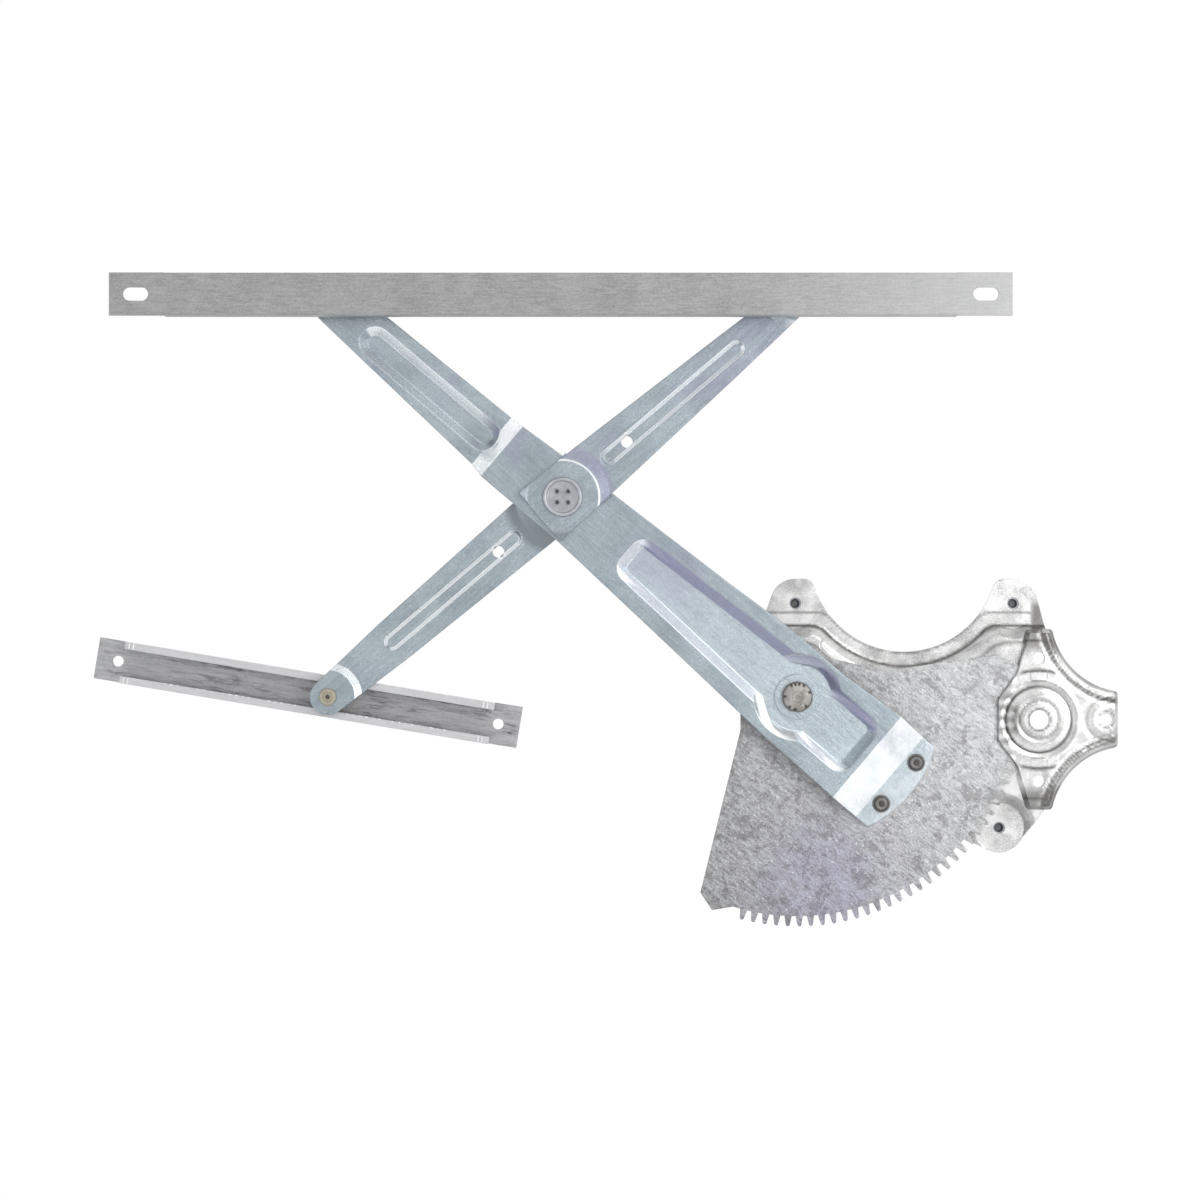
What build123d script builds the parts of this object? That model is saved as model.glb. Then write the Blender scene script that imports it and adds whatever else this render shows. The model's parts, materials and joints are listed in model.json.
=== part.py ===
# Cross-arm window regulator for a car door, seen from the glass side, without its motor
# Millimetres. X runs along the car, Z is up, and the door's inner panel is the plane Y = 0
# The glass side is towards -Y, and "depth" below is the distance in front of the panel
from build123d import *
from math import atan2, cos, degrees, radians, sin
import os

os.makedirs("parts", exist_ok=True)

# Linkage
arm_angle = 40.4
pivot_spacing = 170.0
sector_x = -60.0
sector_z = -51.5

# Sheet thicknesses
plate_sheet = 1.6
gear_sheet = 2.8
arm_sheet = 2.0
rail_sheet = 1.5
cover_sheet = 1.6

# Clearances
running_gap = 0.3
bearing_clearance = 0.05
roller_clearance = 0.25
gear_gap = 0.6

# Depth steps of the pressed sheets
plate_depth = 8.0
arm_step = 6.0
far_step = 5.0
equaliser_step = 2.9
upper_pad_step = 2.8
lower_pad_step = 3.0
gear_depth = plate_depth + plate_sheet + gear_gap
seat_depth = gear_depth + gear_sheet
hub_depth = seat_depth + arm_step
far_depth = hub_depth + far_step
front_pad_depth = hub_depth + arm_sheet + running_gap
front_depth = front_pad_depth + equaliser_step
upper_pad_depth = front_depth + upper_pad_step
rear_pad_depth = hub_depth - running_gap - arm_sheet
rear_depth = rear_pad_depth - equaliser_step
lower_pad_depth = rear_depth + lower_pad_step

# Base plate
tab_spacing = 121.0
tab_radius = 13.75
tab_wall_run = 6.0
lower_tab_x = 52.8
lower_tab_z = -124.6
tab_hole_radius = 3.3
arch_radius = 52.0
arch_height = 25.2
ear_x = 73.0
upper_ear_z = -21.0
lower_ear_z = -108.0
ear_radius = 7.0
pivot_boss_radius = 31.0
window_radius = 26.0
groove_width = 5.0
groove_offset = 12.5
groove_depth = 1.4
groove_run = 1.8
groove_arc = 84.0

# Weld nuts
nut_across_flats = 10.0
nut_height = 5.0
nut_bore_radius = 2.5

# Motor cover
bore_x = 73.4
bore_z = -64.1
bore_radius = 5.35
collar_radius = 8.5
collar_height = 2.6
cover_gap = 1.0
ring_radius = 18.7
ring_rise = 0.8
motor_hole_radius = 3.3
motor_hole_rise = 34.0
motor_side_reach = 37.2
hub_tab_reach = 24.0
hub_tab_height = 24.0
cover_tip_height = 31.0
cover_ear_rise = 50.0
cover_ear_width = 16.0
cover_waist_x = 21.0
cover_waist_y = 26.5
cover_neck = 13.5
cover_corner = 2.5
cover_flare = 2.2
cover_side_reach = motor_side_reach + motor_hole_radius + cover_sheet + cover_flare
inner_ring_radius = 13.6
pad_middle = 24.0
pad_length = 10.0
pad_width = 6.0
pad_rise = 0.9
flange_clearance = 2.0
cover_depth = seat_depth + cover_gap

# Sector gear
pitch_radius = 123.0
tooth_addendum = 4.0
tooth_count_full = 123
tip_radius = pitch_radius + tooth_addendum
tooth_height = 5.7
first_tooth_angle = -104.0
toothed_arc = 102.0
tooth_root_share = 0.62
tooth_tip_share = 0.34
lug_angle = 7.0
lug_corner = 13.5
lug_corner_angle = 11.7
gear_neck_reach = 51.6
gear_neck_angle = 16.3
gear_hub_radius = 25.0
heel_inset = 6.2
heel_angle = -116.2
heel_corner_angle = -111.7

# Sector pivot
pivot_pin_radius = 7.0
bush_radius = 9.0
bush_flange_radius = 14.0
bush_flange = gear_gap - 0.1
pivot_head_radius = 8.25
pivot_head_height = 3.2
pivot_washer_radius = 12.5
pivot_washer = 1.0
pivot_tail_height = 1.5
pivot_tail_radius = 9.5

# Lift arm, in its own frame: X from the hub to the sector pivot, Y to the upper right
arm_far_width = 13.4
arm_hub_width = 18.3
arm_pivot_width = 27.2
arm_end_width = 29.5
arm_tip_radius = 12.0
arm_bend_reach = 101.7
arm_bend_upper = 23.4
arm_bend_lower = 24.8
arm_end_radius = 2.5
arm_end_bow = 6.5
far_joggle_near = 41.8
far_joggle_far = 49.5
end_joggle_near = 220.5
end_joggle_far = 237.6
rivet_reach = end_joggle_far + 6.0
arm_end = rivet_reach + 8.9
rivet_spread = 29.7
rivet_radius = 2.5
rivet_head_radius = 3.9
rivet_head_height = 2.0
arm_rib_near = 50.5
arm_rib_far = 137.5
arm_rib_width = 8.8
arm_rib_offset = -2.2
arm_rib_run = 4.6
pan_near = 51.7
pan_far = 149.6
pan_near_width = 15.4
pan_far_width = 24.2
pan_radius = 18.7
pan_box_far = 211.8
pan_box_width = 25.3
pan_run = 5.5
pan_corner = 3.0

# Equaliser arm, in its own frame: X from the hub to the upper roller
pad_end = 17.0
pad_half_width = 17.5
pad_radius = 19.25
pad_rim_radius = 26.4
front_mid_width = 16.5
front_far_width = 8.9
rear_near_width = 15.4
rear_far_width = 9.9
eq_rib_near = 24.75
eq_rib_far = 128.0
eq_rib_floor = 5.2
eq_rib_run = 2.0
eq_rib_step = 2.0
eq_hole_radius = 3.2
eq_hole_reach = 46.5
upper_pad_radius = 13.75
upper_pad_rim = 18.7
lower_pad_radius = 14.8
lower_pad_rim = 18.7

# Hub between the two halves of the equaliser
hub_radius = 10.7
hub_spigot_radius = 9.0
hub_flange = 0.9
hub_dish = 0.5
stake_spacing = 6.75
stake_radius = 1.1

# Rollers and their pins
journal_radius = 4.0
shoulder_radius = 5.5
pin_head_radius = 6.0
pin_head = 1.5
lower_head_radius = 4.7
washer_radius = 6.2
washer = 0.7
roller_groove = 0.9

# Glass rail
glass_rail_length = 493.0
glass_rail_height = 23.5
glass_rail_depth = 12.0
glass_rail_back = 30.0
glass_rail_lip = 5.0
glass_rail_end_tab = 30.0
glass_rail_shift = -0.8
slot_inset = 14.5
slot_length = 13.7
slot_width = 7.3
rail_tilt = 9.4
bend_radius = 1.0

# Guide rail
guide_rail_length = 238.0
guide_rail_height = 23.0
guide_rail_depth = 12.0
guide_rail_lip = 4.0
guide_rail_end_tab = 15.4
guide_hole_inset = 12.0
guide_hole_radius = 3.0
guide_rail_shift = -12.2

# Pivot places, all worked out from the linkage
rise = pivot_spacing * sin(radians(arm_angle))
reach = pivot_spacing * cos(radians(arm_angle))
hub_x = sector_x - reach
hub_z = sector_z + rise
upper_x = sector_x
upper_z = sector_z + 2 * rise
far_x = sector_x - 2 * reach
far_z = upper_z
lower_x = far_x
lower_z = sector_z
tab_x = tab_spacing / 2


def facing(depth, x=0.0, z=0.0, turn=0.0):
    # A sketch plane that faces the glass, at a depth in front of the panel
    a = radians(turn)
    return Plane(origin=(x, -depth, z), x_dir=(cos(a), 0, sin(a)), z_dir=(0, -1, 0))


def edge_on(x, z, turn):
    # A plane along an arm and square to the panel, with its Y towards the glass
    a = radians(turn)
    return Plane(origin=(x, 0, z), x_dir=(cos(a), 0, sin(a)), z_dir=(sin(a), 0, -cos(a)))


def lift_plane(depth):
    return facing(depth, hub_x, hub_z, -arm_angle)


def equaliser_plane(depth):
    return facing(depth, hub_x, hub_z, arm_angle)


def sink(outline, plane, step, run, sheet):
    # Presses an outline away from the glass: the outline is the floor's, the wall leans outwards
    lean = degrees(atan2(run, step))
    with BuildSketch(plane) as back:
        add(outline)
    extrude(back.sketch, amount=step, taper=-lean)
    with BuildSketch(plane.offset(sheet)) as front:
        add(outline)
    extrude(front.sketch, amount=step, taper=-lean, mode=Mode.SUBTRACT)


def lift(outline, plane, step, run, sheet):
    # Presses an outline towards the glass: the outline is the foot of the wall
    lean = degrees(atan2(run, step))
    with BuildSketch(plane.offset(sheet)) as front:
        add(outline)
    extrude(front.sketch, amount=step, taper=lean)
    with BuildSketch(plane) as back:
        add(outline)
    extrude(back.sketch, amount=step, taper=lean, mode=Mode.SUBTRACT)


def disc(radius, x=0.0, y=0.0):
    with BuildSketch() as sketch:
        with Locations((x, y)):
            Circle(radius)
    return sketch.sketch


def slot(near, far, width, offset_y=0.0):
    with BuildSketch() as sketch:
        with Locations(((near + far) / 2, offset_y)):
            SlotOverall(far - near, width)
    return sketch.sketch


def drill(depth, x, z, radius, length):
    with BuildSketch(facing(depth, x, z)) as hole:
        Circle(radius)
    extrude(hole.sketch, amount=length, mode=Mode.SUBTRACT)


def post(depth, x, z, radius, length):
    with BuildSketch(facing(depth, x, z)) as end:
        Circle(radius)
    extrude(end.sketch, amount=length)


# Base plate: three tabs on the panel, and a raised body that carries the pivot and the motor
plate_tabs = [(-tab_x, 0.0), (tab_x, 0.0), (lower_tab_x, lower_tab_z)]
with BuildSketch() as plate_outline:
    for x, y in plate_tabs:
        with Locations((x, y)):
            Circle(tab_radius)
    with Locations((sector_x, sector_z)):
        Circle(pivot_boss_radius)
    with Locations((ear_x, upper_ear_z), (ear_x, lower_ear_z)):
        Circle(ear_radius)
    make_hull()
    with Locations((0, arch_height)):
        Circle(arch_radius, mode=Mode.SUBTRACT)
    fillet(plate_outline.vertices().group_by(Axis.Y)[-1], tab_radius * 0.45)
    with Locations((bore_x, bore_z)):
        Circle(window_radius, mode=Mode.SUBTRACT)

with BuildSketch() as arch_groove:
    groove_start = -90 - groove_arc / 2
    SlotArc(CenterArc((0, arch_height), arch_radius + groove_offset, groove_start, groove_arc), groove_width)

with BuildPart() as base_plate:
    with BuildSketch(facing(plate_depth)):
        add(plate_outline.sketch)
    extrude(amount=plate_sheet)
    # A groove follows the arch
    sink(arch_groove.sketch, facing(plate_depth - groove_depth), groove_depth, groove_run, plate_sheet)
    for x, z in plate_tabs:
        sink(disc(tab_radius), facing(0, x, z), plate_depth, tab_wall_run, plate_sheet)
    with BuildSketch(facing(0)):
        add(plate_outline.sketch)
    extrude(amount=plate_depth + plate_sheet, mode=Mode.INTERSECT)
    for x, z in plate_tabs:
        drill(0, x, z, tab_hole_radius, plate_sheet)
    drill(plate_depth, sector_x, sector_z, pivot_pin_radius, plate_sheet)
base_plate.part.label = "base_plate"
export_step(base_plate.part, "parts/base_plate.step")

# Weld nuts behind the tabs, in the panel's clearance holes
with BuildPart() as panel_weld_nuts:
    for x, z in plate_tabs:
        with BuildSketch(facing(-nut_height, x, z)):
            RegularPolygon(nut_across_flats / 2, 6, major_radius=False)
            Circle(nut_bore_radius, mode=Mode.SUBTRACT)
        extrude(amount=nut_height)
panel_weld_nuts.part.label = "panel_weld_nuts"
export_step(panel_weld_nuts.part, "parts/panel_weld_nuts.step")

# Motor cover: a pressed star over the pinion, with its edge flared back to the base plate
with BuildSketch() as cover_outline:
    with BuildLine():
        upper_ear = (cover_ear_width / 2, cover_ear_rise)
        lower_ear = (cover_ear_width / 2, -cover_ear_rise)
        upper_tip = (cover_side_reach, cover_tip_height / 2)
        lower_tip = (cover_side_reach, -cover_tip_height / 2)
        ThreePointArc(upper_ear, (cover_waist_x, cover_waist_y), upper_tip)
        Line(upper_tip, lower_tip)
        ThreePointArc(lower_tip, (cover_waist_x, -cover_waist_y), lower_ear)
        Polyline(
            lower_ear,
            (-cover_ear_width * 0.4, -cover_ear_rise),
            (-cover_neck, -cover_waist_y),
            (-hub_tab_reach, -hub_tab_height / 2),
            (-hub_tab_reach, hub_tab_height / 2),
            (-cover_neck, cover_waist_y),
            (-cover_ear_width * 0.4, cover_ear_rise),
            upper_ear,
        )
    make_face()
    fillet(cover_outline.vertices(), cover_corner)

cover_foot = plate_depth + plate_sheet
cover_rise = cover_depth - cover_foot
flare = degrees(atan2(cover_flare, cover_rise + cover_sheet))
motor_holes = [(0.0, motor_hole_rise), (motor_side_reach, 0.0), (0.0, -motor_hole_rise)]
with BuildPart() as pinion_cover:
    with BuildSketch(facing(cover_foot, bore_x, bore_z)):
        add(cover_outline.sketch)
    extrude(amount=cover_rise + cover_sheet, taper=flare)
    with BuildSketch(facing(cover_foot, bore_x, bore_z)):
        add(cover_outline.sketch)
        offset(amount=-cover_sheet, mode=Mode.REPLACE)
    extrude(amount=cover_rise, taper=flare, mode=Mode.SUBTRACT)
    with BuildSketch(facing(cover_foot, sector_x, sector_z)):
        Circle(tip_radius + flange_clearance)
    extrude(amount=cover_rise, mode=Mode.SUBTRACT)
    # Two rings and a collar round the bore, and a raised pad before each outer hole
    lift(disc(ring_radius), facing(cover_depth, bore_x, bore_z), ring_rise, ring_rise, cover_sheet)
    lift(disc(inner_ring_radius), facing(cover_depth + ring_rise, bore_x, bore_z), ring_rise,
         ring_rise, cover_sheet)
    with BuildSketch(facing(cover_depth + cover_sheet, bore_x, bore_z)):
        with Locations((0, pad_middle), (0, -pad_middle)):
            RectangleRounded(pad_length, pad_width, pad_width / 4)
    extrude(amount=pad_rise, taper=45)
    post(cover_depth + ring_rise + cover_sheet, bore_x, bore_z, collar_radius, collar_height)
    drill(cover_depth, bore_x, bore_z, bore_radius, cover_sheet + ring_rise + collar_height)
    for x, z in motor_holes:
        drill(cover_depth, bore_x + x, bore_z + z, motor_hole_radius, cover_sheet)
pinion_cover.part.label = "pinion_cover"
export_step(pinion_cover.part, "parts/pinion_cover.step")

# Sector pivot: a bush, a washer and a headed pin staked into the base plate
bush_length = seat_depth + arm_sheet + running_gap - plate_depth - plate_sheet
with BuildPart() as pivot_bush:
    post(plate_depth + plate_sheet, sector_x, sector_z, bush_radius, bush_length)
    post(plate_depth + plate_sheet, sector_x, sector_z, bush_flange_radius, bush_flange)
    drill(plate_depth + plate_sheet, sector_x, sector_z, pivot_pin_radius, bush_length)
pivot_bush.part.label = "pivot_bush"
export_step(pivot_bush.part, "parts/pivot_bush.step")

washer_depth = plate_depth + plate_sheet + bush_length
with BuildPart() as pivot_washer_part:
    post(washer_depth, sector_x, sector_z, pivot_washer_radius, pivot_washer)
    drill(washer_depth, sector_x, sector_z, pivot_pin_radius, pivot_washer)
pivot_washer_part.part.label = "pivot_washer"
export_step(pivot_washer_part.part, "parts/pivot_washer.step")

head_depth = washer_depth + pivot_washer
with BuildPart() as pivot_pin:
    post(plate_depth - pivot_tail_height, sector_x, sector_z, pivot_tail_radius, pivot_tail_height)
    post(plate_depth, sector_x, sector_z, pivot_pin_radius, head_depth - plate_depth)
    post(head_depth, sector_x, sector_z, pivot_head_radius, pivot_head_height)
    fillet(pivot_pin.faces().sort_by(Axis.Y)[0].edges(), 0.8)
pivot_pin.part.label = "pivot_pin"
export_step(pivot_pin.part, "parts/pivot_pin.step")

# Sector gear: a flat blank with tall, narrow teeth, and a plain lug at its upper end
tooth_pitch = 360.0 / tooth_count_full
root_radius = tip_radius - tooth_height
tooth_gaps = int(toothed_arc / tooth_pitch)
tooth_count = tooth_gaps + 1
last_tooth_angle = first_tooth_angle + tooth_gaps * tooth_pitch
pitch_width = 2 * pitch_radius * sin(radians(tooth_pitch / 2))


def polar(radius, angle):
    return (radius * cos(radians(angle)), radius * sin(radians(angle)))


with BuildSketch() as gear_outline:
    with BuildLine():
        heel = polar(root_radius, first_tooth_angle - tooth_pitch)
        toe = polar(root_radius, last_tooth_angle + tooth_pitch)
        mid = polar(root_radius, (first_tooth_angle + last_tooth_angle) / 2)
        ThreePointArc(heel, mid, toe)
        lug_foot = polar(tip_radius, last_tooth_angle + tooth_pitch)
        lug_tip = polar(tip_radius, lug_angle)
        Line(toe, lug_foot)
        Line(lug_foot, lug_tip)
        lug_inner = polar(tip_radius - lug_corner, lug_corner_angle)
        neck = polar(gear_neck_reach, gear_neck_angle)
        Polyline(lug_tip, lug_inner, neck, (0, gear_hub_radius))
        RadiusArc((0, gear_hub_radius), (-gear_hub_radius, 0), -gear_hub_radius)
        Polyline(
            (-gear_hub_radius, 0),
            (-gear_hub_radius - heel_inset, -gear_hub_radius * 0.35),
            (-gear_hub_radius - heel_inset, -gear_hub_radius * 0.75),
            polar(tip_radius - heel_inset, heel_angle),
            polar(tip_radius, heel_corner_angle),
            heel,
        )
    make_face()

with BuildSketch() as tooth:
    with BuildLine():
        foot = pitch_width * tooth_root_share / 2
        crest = pitch_width * tooth_tip_share / 2
        Polyline((root_radius - 1.0, -foot), (root_radius, -foot), (tip_radius - 0.8, -crest))
        ThreePointArc((tip_radius - 0.8, -crest), (tip_radius, 0), (tip_radius - 0.8, crest))
        Polyline((tip_radius - 0.8, crest), (root_radius, foot), (root_radius - 1.0, foot))
        Line((root_radius - 1.0, foot), (root_radius - 1.0, -foot))
    make_face()

with BuildPart() as sector_gear:
    with BuildSketch(facing(gear_depth, sector_x, sector_z)):
        add(gear_outline.sketch)
        with PolarLocations(0, tooth_count, first_tooth_angle, tooth_gaps * tooth_pitch, endpoint=True):
            add(tooth.sketch)
        Circle(bush_radius + bearing_clearance, mode=Mode.SUBTRACT)
    extrude(amount=gear_sheet)
    # Holes for the two rivets that carry the lift arm's end
    with BuildSketch(lift_plane(gear_depth)):
        with Locations((rivet_reach, -rivet_spread / 2), (rivet_reach, rivet_spread / 2)):
            Circle(rivet_radius)
    extrude(amount=gear_sheet, mode=Mode.SUBTRACT)
sector_gear.part.label = "sector_gear"
export_step(sector_gear.part, "parts/sector_gear.step")

# Lift arm: a pressed strip whose flats lie at three depths, with a rib and a deep pan
with BuildSketch() as arm_outline:
    with BuildLine():
        Polyline(
            (-pivot_spacing, arm_tip_radius),
            (-far_joggle_far, arm_far_width + 1.4),
            (0, arm_hub_width),
            (arm_bend_reach, arm_bend_upper),
            (pivot_spacing - 30.0, arm_pivot_width - 1.2),
            (pivot_spacing + 12.0, arm_pivot_width - 1.2),
            (end_joggle_near, arm_end_width - 0.8),
            (arm_end - arm_end_bow, arm_end_width - 1.6),
        )
        ThreePointArc(
            (arm_end - arm_end_bow, arm_end_width - 1.6),
            (arm_end, 0),
            (arm_end - arm_end_bow, -arm_end_width),
        )
        Polyline(
            (arm_end - arm_end_bow, -arm_end_width),
            (end_joggle_near, -arm_end_width),
            (pivot_spacing, -arm_pivot_width - 1.2),
            (arm_bend_reach, -arm_bend_lower),
            (14.0, -arm_hub_width - 2.1),
            (-far_joggle_near, -arm_hub_width - 2.1),
            (-far_joggle_far, -arm_far_width - 5.2),
            (-pivot_spacing, -arm_tip_radius),
        )
        RadiusArc((-pivot_spacing, -arm_tip_radius), (-pivot_spacing, arm_tip_radius), arm_tip_radius)
    make_face()
    corners = arm_outline.vertices().filter_by(lambda v: v.X > end_joggle_far)
    fillet(corners, arm_end_radius)

with BuildSketch() as arm_profile:
    with BuildLine():
        back = [
            (-pivot_spacing - 2 * arm_tip_radius, far_depth),
            (-far_joggle_far, far_depth),
            (-far_joggle_near, hub_depth),
            (end_joggle_near, hub_depth),
            (end_joggle_far, seat_depth),
            (arm_end + arm_sheet, seat_depth),
        ]
        front = [(x, depth + arm_sheet) for x, depth in reversed(back)]
        Polyline(*back, *front, close=True)
    make_face()

with BuildSketch() as pan_floor:
    with BuildLine():
        Polyline(
            (pan_near, pan_near_width / 2),
            (pan_far, pan_far_width / 2),
            (pivot_spacing, pan_far_width / 2),
            (pivot_spacing, -pan_far_width / 2),
            (pan_far, -pan_far_width / 2),
            (pan_near, -pan_near_width / 2),
            close=True,
        )
    make_face()
    with Locations(((pan_box_far + pivot_spacing) / 2, 0)):
        Rectangle(pan_box_far - pivot_spacing, pan_box_width)
    with Locations((pivot_spacing, 0)):
        Circle(pan_radius)
    fillet(pan_floor.vertices(), pan_corner)

with BuildPart() as lift_arm:
    with BuildSketch(edge_on(hub_x, hub_z, -arm_angle)):
        add(arm_profile.sketch)
    extrude(amount=2 * arm_end_width, both=True)
    with BuildSketch(lift_plane(0)):
        add(arm_outline.sketch)
    extrude(amount=far_depth + 2 * arm_sheet, mode=Mode.INTERSECT)
    sink(pan_floor.sketch, lift_plane(seat_depth), arm_step, pan_run, arm_sheet)
    rib = slot(-arm_rib_far, -arm_rib_near, arm_rib_width, arm_rib_offset)
    sink(rib, lift_plane(hub_depth), far_step, arm_rib_run, arm_sheet)
    drill(seat_depth, sector_x, sector_z, bush_radius + bearing_clearance, arm_sheet)
    drill(hub_depth, hub_x, hub_z, hub_radius + bearing_clearance, arm_sheet)
    drill(far_depth, far_x, far_z, journal_radius, arm_sheet)
    with BuildSketch(lift_plane(seat_depth)):
        with Locations((rivet_reach, -rivet_spread / 2), (rivet_reach, rivet_spread / 2)):
            Circle(rivet_radius)
    extrude(amount=arm_sheet, mode=Mode.SUBTRACT)
lift_arm.part.label = "lift_arm"
export_step(lift_arm.part, "parts/lift_arm.step")

# Rivets from the lift arm into the sector gear
with BuildPart() as gear_rivets:
    with BuildSketch(lift_plane(gear_depth)):
        with Locations((rivet_reach, -rivet_spread / 2), (rivet_reach, rivet_spread / 2)):
            Circle(rivet_radius)
    extrude(amount=gear_sheet + arm_sheet)
    with BuildSketch(lift_plane(seat_depth + arm_sheet)):
        with Locations((rivet_reach, -rivet_spread / 2), (rivet_reach, rivet_spread / 2)):
            Circle(rivet_head_radius)
    extrude(amount=rivet_head_height, taper=20)
gear_rivets.part.label = "gear_rivets"
export_step(gear_rivets.part, "parts/gear_rivets.step")


def half_outline(near_width, far_width, direction):
    # Plan of one half of the equaliser: a square pad at the hub and a rounded, tapered arm
    with BuildSketch() as sketch:
        with BuildLine():
            Polyline(
                (-pad_end * direction, pad_half_width),
                (pad_end * direction, near_width),
                (pivot_spacing * 0.72 * direction, far_width + 2.6),
                (pivot_spacing * direction, far_width),
                (pivot_spacing * direction, -far_width),
                (pivot_spacing * 0.72 * direction, -far_width - 2.6),
                (pad_end * direction, -near_width),
                (-pad_end * direction, -pad_half_width),
                close=True,
            )
        make_face()
        with Locations((pivot_spacing * direction, 0)):
            Circle(far_width)
    return sketch.sketch


# Front half of the equaliser, from the hub to the upper roller
with BuildPart() as equaliser_front:
    with BuildSketch(equaliser_plane(front_depth)):
        Rectangle(3 * pivot_spacing, 4 * pad_half_width)
    extrude(amount=arm_sheet)
    sink(disc(pad_radius), equaliser_plane(front_pad_depth), equaliser_step,
         pad_rim_radius - pad_radius, arm_sheet)
    lift(disc(upper_pad_rim, pivot_spacing), equaliser_plane(front_depth), upper_pad_step,
         upper_pad_rim - upper_pad_radius, arm_sheet)
    sink(slot(eq_rib_near + 6.0, eq_rib_far, eq_rib_floor), equaliser_plane(front_depth - eq_rib_step),
         eq_rib_step, eq_rib_run, arm_sheet)
    with BuildSketch(equaliser_plane(0)):
        add(half_outline(front_mid_width, front_far_width, 1))
    extrude(amount=glass_rail_back, mode=Mode.INTERSECT)
    drill(front_pad_depth, hub_x, hub_z, hub_spigot_radius, arm_sheet)
    drill(upper_pad_depth, upper_x, upper_z, journal_radius, arm_sheet)
    with BuildSketch(equaliser_plane(front_depth - eq_rib_step)):
        with Locations((eq_hole_reach, 0)):
            Circle(eq_hole_radius)
    extrude(amount=arm_sheet, mode=Mode.SUBTRACT)
equaliser_front.part.label = "equaliser_front"
export_step(equaliser_front.part, "parts/equaliser_front.step")

# Rear half of the equaliser, from the hub to the lower roller, behind the lift arm
with BuildPart() as equaliser_rear:
    with BuildSketch(equaliser_plane(rear_depth)):
        Rectangle(3 * pivot_spacing, 4 * pad_half_width)
    extrude(amount=arm_sheet)
    lift(disc(pad_rim_radius), equaliser_plane(rear_depth), equaliser_step,
         pad_rim_radius - pad_radius, arm_sheet)
    lift(disc(lower_pad_rim, -pivot_spacing), equaliser_plane(rear_depth), lower_pad_step,
         lower_pad_rim - lower_pad_radius, arm_sheet)
    lift(slot(-eq_rib_far, -eq_rib_near - 6.0, eq_rib_floor + 2 * eq_rib_run),
         equaliser_plane(rear_depth), eq_rib_step, eq_rib_run, arm_sheet)
    with BuildSketch(equaliser_plane(0)):
        add(half_outline(rear_near_width, rear_far_width, -1))
    extrude(amount=glass_rail_back, mode=Mode.INTERSECT)
    drill(rear_pad_depth, hub_x, hub_z, hub_spigot_radius, arm_sheet)
    drill(lower_pad_depth, lower_x, lower_z, journal_radius, arm_sheet)
    with BuildSketch(equaliser_plane(rear_depth + eq_rib_step)):
        with Locations((-eq_hole_reach, 0)):
            Circle(eq_hole_radius)
    extrude(amount=arm_sheet, mode=Mode.SUBTRACT)
equaliser_rear.part.label = "equaliser_rear"
export_step(equaliser_rear.part, "parts/equaliser_rear.step")

# Hub: joins the two halves and is the lift arm's journal; both its faces are dished and staked
hub_back = rear_pad_depth - hub_flange
hub_front = front_pad_depth + arm_sheet + hub_flange
with BuildPart() as equaliser_hub:
    post(hub_back, hub_x, hub_z, hub_spigot_radius, hub_front - hub_back)
    post(rear_pad_depth + arm_sheet, hub_x, hub_z, hub_radius,
         front_pad_depth - rear_pad_depth - arm_sheet)
    post(hub_back, hub_x, hub_z, hub_radius, hub_flange)
    post(hub_front - hub_flange, hub_x, hub_z, hub_radius, hub_flange)
    drill(hub_front - hub_dish, hub_x, hub_z, hub_spigot_radius, hub_dish)
    with BuildSketch(equaliser_plane(hub_front - 2 * hub_dish)):
        with GridLocations(stake_spacing, stake_spacing, 2, 2):
            Circle(stake_radius)
    extrude(amount=2 * hub_dish, mode=Mode.SUBTRACT)
equaliser_hub.part.label = "equaliser_hub"
export_step(equaliser_hub.part, "parts/equaliser_hub.step")

# Rollers, their pins and the washers that keep them on
roller_front = glass_rail_back + glass_rail_depth - rail_sheet - 1.4
roller_back = glass_rail_back + rail_sheet + 1.0
upper_roller_radius = glass_rail_height / 2 - rail_sheet - roller_clearance
lower_roller_radius = guide_rail_height / 2 - rail_sheet - roller_clearance
lower_roller_back = rail_sheet + washer + 2 * running_gap
lower_roller_front = guide_rail_depth - rail_sheet - 1.3


def roller(name, x, z, radius, back_depth, front_depth):
    # A plastic roller with a shallow groove round its tread
    with BuildPart() as piece:
        with BuildSketch(Plane(origin=(x, 0, z), x_dir=(1, 0, 0), z_dir=(0, 0, 1))):
            with BuildLine():
                bore = journal_radius + bearing_clearance
                middle = -(back_depth + front_depth) / 2
                Polyline(
                    (bore, -front_depth),
                    (radius, -front_depth),
                    (radius, middle - roller_groove),
                    (radius - roller_groove, middle),
                    (radius, middle + roller_groove),
                    (radius, -back_depth),
                    (bore, -back_depth),
                    close=True,
                )
            make_face()
        revolve(axis=Axis((x, 0, z), (0, 1, 0)))
    piece.part.label = name
    export_step(piece.part, f"parts/{name}.step")


def roller_pin(name, x, z, arm_depth, head_radius):
    # A stepped pin in front of an arm: head behind, shank in the arm, shoulder and journal
    with BuildPart() as piece:
        post(arm_depth - pin_head, x, z, head_radius, pin_head)
        post(arm_depth, x, z, journal_radius, roller_front + running_gap + washer - arm_depth)
        post(arm_depth + arm_sheet, x, z, shoulder_radius, roller_back - running_gap
             - arm_depth - arm_sheet)
    piece.part.label = name
    export_step(piece.part, f"parts/{name}.step")


def roller_washer(name, x, z, depth):
    with BuildPart() as piece:
        post(depth, x, z, washer_radius, washer)
        drill(depth, x, z, journal_radius, washer)
    piece.part.label = name
    export_step(piece.part, f"parts/{name}.step")


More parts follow.
